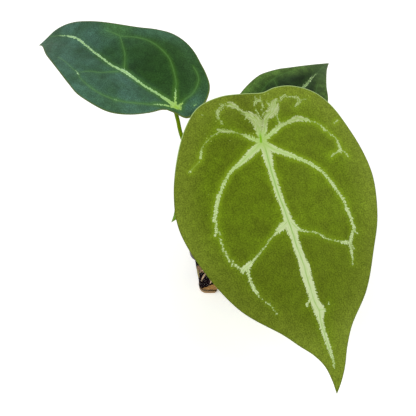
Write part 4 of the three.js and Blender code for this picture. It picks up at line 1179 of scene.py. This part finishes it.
def fourPrisms(profile, near, far):
    # one prism through each wall, its profile seen from outside, between two distances from the axis
    prisms = []
    for quarter in range(4):
        c, s = round(math.cos(quarter * math.pi / 2)), round(math.sin(quarter * math.pi / 2))
        ends = [[(x * c - y * s, x * s + y * c, z) for x, z in profile] for y in (near, far)]
        prisms.append(prismSolid(*ends))
    return prisms


def pocketPrisms(grown):
    # the pocket pressed into the foot of each wall, each side moved out by some mm
    foot, head = pot["pocketFoot"] / 2 + grown, pot["pocketTop"] / 2 + grown
    high, deep = pot["pocketHeight"] + grown, pot["baseHalf"] - pot["pocketDepth"] - grown
    slope = (foot - head) / high  # carried on below the floor
    profile = [(foot + slope, -1), (head, high), (-head, high), (-foot - slope, -1)]
    return fourPrisms(profile, -40, -deep)  # from well outside the wall


def drainBoxes():
    half, middle, reach = pot["slotWidth"] / 2, pot["baseHalf"] - pot["pocketDepth"], pot["slotDepth"] / 2
    low, high = pot["slotRise"], pot["slotRise"] + pot["slotHeight"]
    profile = [(half, low), (half, high), (-half, high), (-half, low)]
    return fourPrisms(profile, -middle - reach, -middle + reach)


def makePot():
    top = pot["height"]
    ledge = top - pot["rimDrop"]
    rim = pot["rimHalf"]
    outer = [squareRing(wallHalf(0) - 0.5, potCorner(0) - 0.5, 0)]
    outer.append(squareRing(wallHalf(0.5), potCorner(0.5), 0.5))
    outer += [squareRing(wallHalf(z), potCorner(z), z) for z in np.linspace(3, ledge - 1, 9)]
    for half, z in ((rim - 0.9, ledge - 0.3), (rim - 0.4, ledge + 0.15), (rim, top - 0.8),
                    (rim - 0.2, top - 0.25), (rim - 0.6, top)):
        outer.append(squareRing(half, potCorner(z), z))
    hollow = [squareRing(wallHalf(z) - pot["wall"], potCorner(z) - pot["wall"], z)
              for z in np.linspace(pot["floor"], top + 1, 10)]
    space = cutBy("space", loftSolid("hollow", hollow, (0, 0), False), pocketPrisms(pot["wall"]))
    cutters = [space] + pocketPrisms(0) + drainBoxes()
    data = cutBy("shell", loftSolid("shell", outer, (0, 0), False), cutters)
    made = bmesh.new()
    made.from_mesh(data)
    bmesh.ops.remove_doubles(made, verts=made.verts, dist=1e-6)
    bmesh.ops.dissolve_degenerate(made, dist=1e-6, edges=made.edges)
    bmesh.ops.triangulate(made, faces=[f for f in made.faces if len(f.verts) > 4])
    bmesh.ops.recalc_face_normals(made, faces=made.faces)
    for face in made.faces:
        face.smooth = True
    for edge in made.edges:
        edge.smooth = edge.calc_face_angle(0) < math.radians(pot["sharpEdge"])
    made.to_mesh(data)
    made.free()
    return data


def keepInPot(data, gap):
    # no point of the mesh comes nearer the pot's inner wall or floor than the gap
    p = pointsOf(data).reshape(-1, 3).astype(float) / mm
    p[:, 2] = np.clip(p[:, 2], pot["floor"] + gap, None)
    ends = [0, pot["height"]]
    inside, corner = (
        np.interp(p[:, 2], ends, [size(z) for z in ends]) - pot["wall"] - gap
        for size in (wallHalf, potCorner))
    p[:, 0] = np.clip(p[:, 0], -inside, inside)
    p[:, 1] = np.clip(p[:, 1], -inside, inside)
    over = np.maximum(np.abs(p[:, :2]) - (inside - corner)[:, None], 0)
    far = np.maximum(np.hypot(over[:, 0], over[:, 1]), 1e-9)
    shrink = np.minimum(corner / far, 1)[:, None]
    rounded = (inside - corner)[:, None] + over * shrink
    p[:, :2] = np.sign(p[:, :2]) * np.where(over > 0, rounded, np.abs(p[:, :2]))
    keepOffPockets(p, gap)
    data.vertices.foreach_set("co", (p * mm).astype(np.float32).ravel())
    data.update()


def keepOffPockets(p, gap):
    # moves what reaches into a drainage pocket out by the shortest way: up, inwards or sideways
    foot, roof = pot["pocketFoot"] / 2 + pot["wall"] + gap, pot["pocketHeight"] + pot["wall"] + gap
    deep = pot["baseHalf"] - pot["pocketDepth"] - pot["wall"] - gap
    for a, b in ((0, 1), (1, 0)):
        ways = np.stack([roof - p[:, 2], np.abs(p[:, b]) - deep, foot - np.abs(p[:, a])])
        within = (ways > 0).all(axis=0)
        best = ways.argmin(axis=0)
        p[within & (best == 0), 2] = roof
        for way, axis, limit in ((1, b, deep), (2, a, foot)):
            chosen = within & (best == way)
            p[chosen, axis] = np.sign(p[chosen, axis]) * limit


def potMaterial():
    # thin clear nursery plastic: glossy and see-through, with scuffs 8 mm and scratches 1 mm apart,
    # smoky where it is thick at the rim, with painted shade on one corner of the rim, and with brown fines
    # settled at its foot
    add, lay, finish = newMaterial("clear pot plastic")
    product = functools.partial(combined, add, times)
    most = functools.partial(combined, add, larger)
    place = add("TexCoord").outputs["Object"]
    marks = add("TexNoise", None, place, 1 / (8.333 * mm), 5.0)
    fine = add("TexNoise", None, place, 1 / (1.111 * mm), 3.0)
    height = add("SeparateXYZ", None, place).outputs["Z"]
    fromRimShade, fromFines = (
        add("VectorMath", {"operation": "DISTANCE"}, place, tuple(c * mm for c in pot[key]))
        for key in ("rimShadeAt", "finesAt"))
    thickRim = product((height, pot["rimFrom"] * mm, pot["rimTo"] * mm))
    # painted shade: one corner of the rim made dark and nearly opaque
    stain = product((fromRimShade, pot["rimShadeFrom"] * mm, pot["rimShadeTo"] * mm, pot["stain"], 0))
    film = most(product(thickRim, pot["rimFilm"]), stain)
    fines = product((height, pot["finesRise"] * mm, pot["footFrom"] * mm),
                    (fromFines, pot["finesFrom"] * mm, pot["finesTo"] * mm, pot["fines"], 0))
    damp = product((height, pot["footFrom"] * mm, pot["footTo"] * mm),
                   (marks, 0.4, 0.6, 0.1 * pot["footFilm"], pot["footFilm"]))
    settled = most(damp, fines)
    colour = lay(pot["clear"], pot["scuff"], (marks, 0.5, 0.7))
    colour = lay(colour, pot["rimTone"], most(thickRim, stain))
    colour = lay(colour, pot["footTone"], settled)
    return finish({
        "Base Color": colour, "IOR": 1.45, "Roughness": product((fine, 0.4, 0.7, 0.06, 0.2)),
        "Specular IOR Level": product((film, 0, 0.6, 0.12, 0.05)),
        "Alpha": combined(add, plus, (marks, 0.45, 0.75, 0.015, 0.05), film, settled)}, marks, 0.1, 0.2)


rootlets = makeRootlets()
keepInPot(rootlets, roots["clearance"])
addPiece("rootlets", rootlets, rootSkin, "stem_and_roots", "stem")
addPiece("clear_pot", makePot(), potMaterial(), "clear_pot", "pot")
print("pot ready")

# Mix: a dark core with bark chips, charcoal, a little perlite and crumbs over its top and against the walls.
# Each kind's spacing, smallest and largest size and lumps in mm, how far it tilts, and its seed.
mix = {
    "level": 42.6, "sideGap": 0.35, "floorGap": 0.3, "corner": 1.5, "cell": 1.6, "lumps": 0.5,
    "knob": 2.0833333,  # size of the lumps on a loose bit
    "clearance": 0.08, "coreClearance": 0.12,  # from chips and core to the pot's inner wall
    "broken": 0.35,  # how far the corners of the single chips are knocked about
    "kinds": {
        "bark_chips": {"spacing": 4.4, "low": (5, 3.2, 1.5), "high": (9.5, 6, 3), "lumpy": 0.9, "tilt": 0.35,
                       "seed": 11},
        "charcoal": {"spacing": 7.5, "low": (3.4, 2.8, 2.2), "high": (6, 4.6, 3.6), "lumpy": 0.8, "tilt": 0.6,
                     "seed": 23},
        "perlite": {"spacing": 11, "low": (1.8, 1.6, 1.4), "high": (3.4, 2.8, 2.4), "lumpy": 0.7, "tilt": 0.9,
                    "seed": 31},
        "crumbs": {"spacing": 3.4, "low": (0.8, 0.7, 0.6), "high": (3, 1.6, 1.2), "lumpy": 0.5, "tilt": 0.9,
                   "seed": 47},
    },
    "barkPale": "A06F44", "barkRed": "7E4A2A", "barkDark": "3B2418", "barkGrey": "8E7E62",
    "coal": "140F11", "coalGrey": "2E282A", "stone": "E6E2D6", "stoneShade": "BDB6A4", "soil": "170D10",
    "soilPale": "33221A", "fresh": "B88848", "freshShade": "7E6042", "freshPale": "A09860",
    "bareCorner": (-10.5, -19.0, 42.0),  # left of, in front of and below: only fines and strands there
    "bareSlope": 0.35, "bareFrom": 10,  # its side leans away from the corner above this height
    "placed": [  # centre, size, turn about each axis in degrees, tint
        {"at": (-16.2, -23.4, 5.8), "size": (11.5, 4.6, 6), "turn": (0, -42, 0), "tint": 0.79},
        {"at": (-18.6, -22.9, 2), "size": (8.4, 6.4, 4), "turn": (0, -12, 0), "tint": 0.6},
        {"at": (-22.6, -24.6, 31), "size": (4.6, 4.4, 8), "turn": (0, 12, 0), "tint": -1},
        {"at": (-25.8, -22.6, 21.4), "size": (2.2, 3.6, 10.5), "turn": (4, 5, 0), "tint": 1},
        {"at": (-2, -24.6, 22), "size": (11, 3, 6), "turn": (0, -35, 0), "tint": 0.7},
        {"at": (24.6, -12, 30), "size": (3, 9, 6), "turn": (25, 0, 0), "tint": 0.5},
        {"at": (9, 24.8, 26), "size": (10, 3, 5), "turn": (0, 20, 0), "tint": 0.75},
        {"at": (-24.8, 9, 18), "size": (3, 10, 6), "turn": (-20, 0, 0), "tint": 0.6},
    ],
}


def mixCore():
    # the body of the mix: a lumpy block, a little inside the pot's inner wall and round its pockets
    low, high = pot["floor"] + mix["floorGap"], mix["level"]
    rings = [squareRing(wallHalf(z) - pot["wall"] - mix["sideGap"], potCorner(z) - mix["corner"], z)
             for z in (low, high)]
    pockets = pocketPrisms(pot["wall"] + mix["sideGap"] * 0.5)
    body = addObject("core", cutBy("core", loftSolid("core", rings, (0, 0), False), pockets))
    even = body.modifiers.new("even", "REMESH")
    even.mode = "VOXEL"
    even.voxel_size = mix["cell"] * mm
    data = evaluated(body)
    bpy.data.objects.remove(body)
    random = np.random.default_rng(5)
    places = pointsOf(data)
    places += random.uniform(-1, 1, len(places)) * mix["lumps"] * mm
    data.vertices.foreach_set("co", places)
    data.update()
    x, y, z = mix["bareCorner"]
    spots = places.reshape(-1, 3) / mm
    side = x - mix["bareSlope"] * np.maximum(spots[:, 2] - mix["bareFrom"], 0)
    setField(data, "bare", (spots[:, 0] < side) & (spots[:, 1] < y) & (spots[:, 2] < z))
    return data


def makeScatterTree():
    # bits laid over a surface, flat to it but for a tilt, each with its own tint
    tree, add, given = growTree("scatter", {
        "Spacing": ("Float", 0.004), "Smallest": ("Vector", (0.004, 0.003, 0.002)),
        "Largest": ("Vector", (0.008, 0.005, 0.003)), "Lumpy": ("Float", 0.001), "Tilt": ("Float", 0.4),
        "Seed": ("Int", 1), "Material": ("Material", None)})
    seed, tilt = given["Seed"], given["Tilt"]
    bare = add("GeometryNodeInputNamedAttribute", {"Name": "bare"})
    covered = add("FunctionNodeCompare", {"operation": "LESS_THAN"}, bare, 0.5)
    spread = add("GeometryNodeDistributePointsOnFaces", {
        "distribute_method": "POISSON", "Density Max": 400000.0, "Distance Min": given["Spacing"],
        "Seed": seed, "Selection": covered}, given["Geometry"])
    bit = add("GeometryNodeMeshCube", {"Vertices X": 4, "Vertices Y": 3, "Vertices Z": 3})
    back = add("ShaderNodeMath", times, tilt, -1.0)
    leastTurn = add("ShaderNodeCombineXYZ", None, back, back, -math.pi)
    mostTurn = add("ShaderNodeCombineXYZ", None, tilt, tilt, math.pi)
    turn = add("FunctionNodeRandomValue", {"data_type": "FLOAT_VECTOR", "Seed": seed}, leastTurn, mostTurn)
    laid = add("FunctionNodeRotateRotation", {"rotation_space": "LOCAL"}, spread.outputs["Rotation"],
               add("FunctionNodeEulerToRotation", None, turn))
    sizeSeed, tintSeed = (add("ShaderNodeMath", plus, seed, step) for step in (17.0, 29.0))
    size = add("FunctionNodeRandomValue", {"data_type": "FLOAT_VECTOR", "Seed": sizeSeed}, given["Smallest"],
               given["Largest"])
    scattered = add("GeometryNodeInstanceOnPoints", {
        "Instance": bit, "Rotation": laid, "Scale": size}, spread)
    tint = add("FunctionNodeRandomValue", {"data_type": "FLOAT", "Seed": tintSeed})
    tinted = add("GeometryNodeStoreNamedAttribute", {
        "domain": "INSTANCE", "Name": "tint", "Value": tint}, scattered)
    real = add("GeometryNodeRealizeInstances", None, tinted)
    place = add("GeometryNodeInputPosition")
    noise = add("ShaderNodeTexNoise", None, place, 1 / (mix["knob"] * mm)).outputs["Color"]
    centred = add("ShaderNodeVectorMath", minus, noise, (0.5, 0.5, 0.5))
    push = add("ShaderNodeVectorMath", {"operation": "SCALE", "Scale": given["Lumpy"]}, centred)
    closeTree(add, add("GeometryNodeSetPosition", {"Offset": push}, real), given["Material"])
    return tree


def bitMaterial(name, pale, dark, other, grain, rough, shine=0.12):
    # a rough broken bit with its grain in mm; every bit takes its own tint between the three colours
    add, lay, finish = newMaterial(name)
    tint = add("Attribute", {"attribute_name": "tint"}).outputs["Fac"]
    fibre = add("TexNoise", None, add("TexCoord").outputs["Object"], 1 / (grain * mm), 4.0)
    colour = lay(mix[dark], mix[pale], (tint, 0.35, 0.85))
    colour = lay(colour, mix[other], (tint, 0.82, 0.9))
    colour = lay(colour, mix[dark], (fibre, 0.35, 0.7, 0.7, 0))
    return finish({"Base Color": colour, "Roughness": rough, "Specular IOR Level": shine}, fibre, 0.7, 0.6)


def placedBits():
    # single chips, each a box of small faces with its corners broken
    made = bmesh.new()
    random = np.random.default_rng(3)
    tints = []
    for bit in mix["placed"]:
        turn = Euler([math.radians(a) for a in bit["turn"]]).to_matrix().to_4x4()
        place = Matrix.Translation(bit["at"]) @ turn @ Matrix.Diagonal((*bit["size"], 1))
        new = bmesh.ops.create_cube(made, size=1.0, matrix=place)["verts"]
        edges = list({e for v in new for e in v.link_edges})
        bmesh.ops.subdivide_edges(made, edges=edges, cuts=3, use_grid_fill=True, smooth=0.12)
        tints += [bit["tint"]] * (len(made.verts) - len(tints))
    for v in made.verts:
        v.co += Vector(random.uniform(-mix["broken"], mix["broken"], 3))
    bmesh.ops.scale(made, vec=(mm, mm, mm), verts=made.verts)
    data = bpy.data.meshes.new("fresh_chips")
    made.to_mesh(data)
    made.free()
    setField(data, "tint", tints)
    return data


bitLooks = {
    "bark_chips": bitMaterial("orchid bark chip", "barkPale", "barkDark", "barkGrey", 1.2, 0.85),
    "charcoal": bitMaterial("charcoal lump", "coalGrey", "coal", "coalGrey", 0.8, 0.6),
    "perlite": bitMaterial("perlite grain", "stone", "stoneShade", "stone", 0.5, 0.9),
    "crumbs": bitMaterial("fine bark and peat", "barkRed", "soil", "soilPale", 0.7, 0.95),
}
scatterTree = makeScatterTree()
core = mixCore()
keepInPot(core, mix["coreClearance"])
for kind, values in mix["kinds"].items():
    made = grow(kind, core.copy(), scatterTree, {
        "Spacing": values["spacing"] * mm, "Smallest": [x * mm for x in values["low"]],
        "Largest": [x * mm for x in values["high"]], "Lumpy": values["lumpy"] * 2 * mm,
        "Tilt": values["tilt"], "Seed": values["seed"], "Material": bitLooks[kind]})
    keepInPot(made, mix["clearance"])
    addPiece(kind, made, bitLooks[kind], "bark_mix", "potting_mix")
    print(kind, "ready:", len(made.polygons), "faces")
soil = bitMaterial("peat body of the mix", "soil", "soil", "soilPale", 1.5, 0.95, 0.02)
addPiece("mix_body", core, soil, "bark_mix", "potting_mix")
freshBark = bitMaterial("freshly broken bark chip", "fresh", "freshShade", "freshPale", 1.4, 0.8)
chips = placedBits()
keepInPot(chips, mix["clearance"] * 0.5)
addPiece("fresh_chips", chips, freshBark, "bark_mix", "potting_mix")
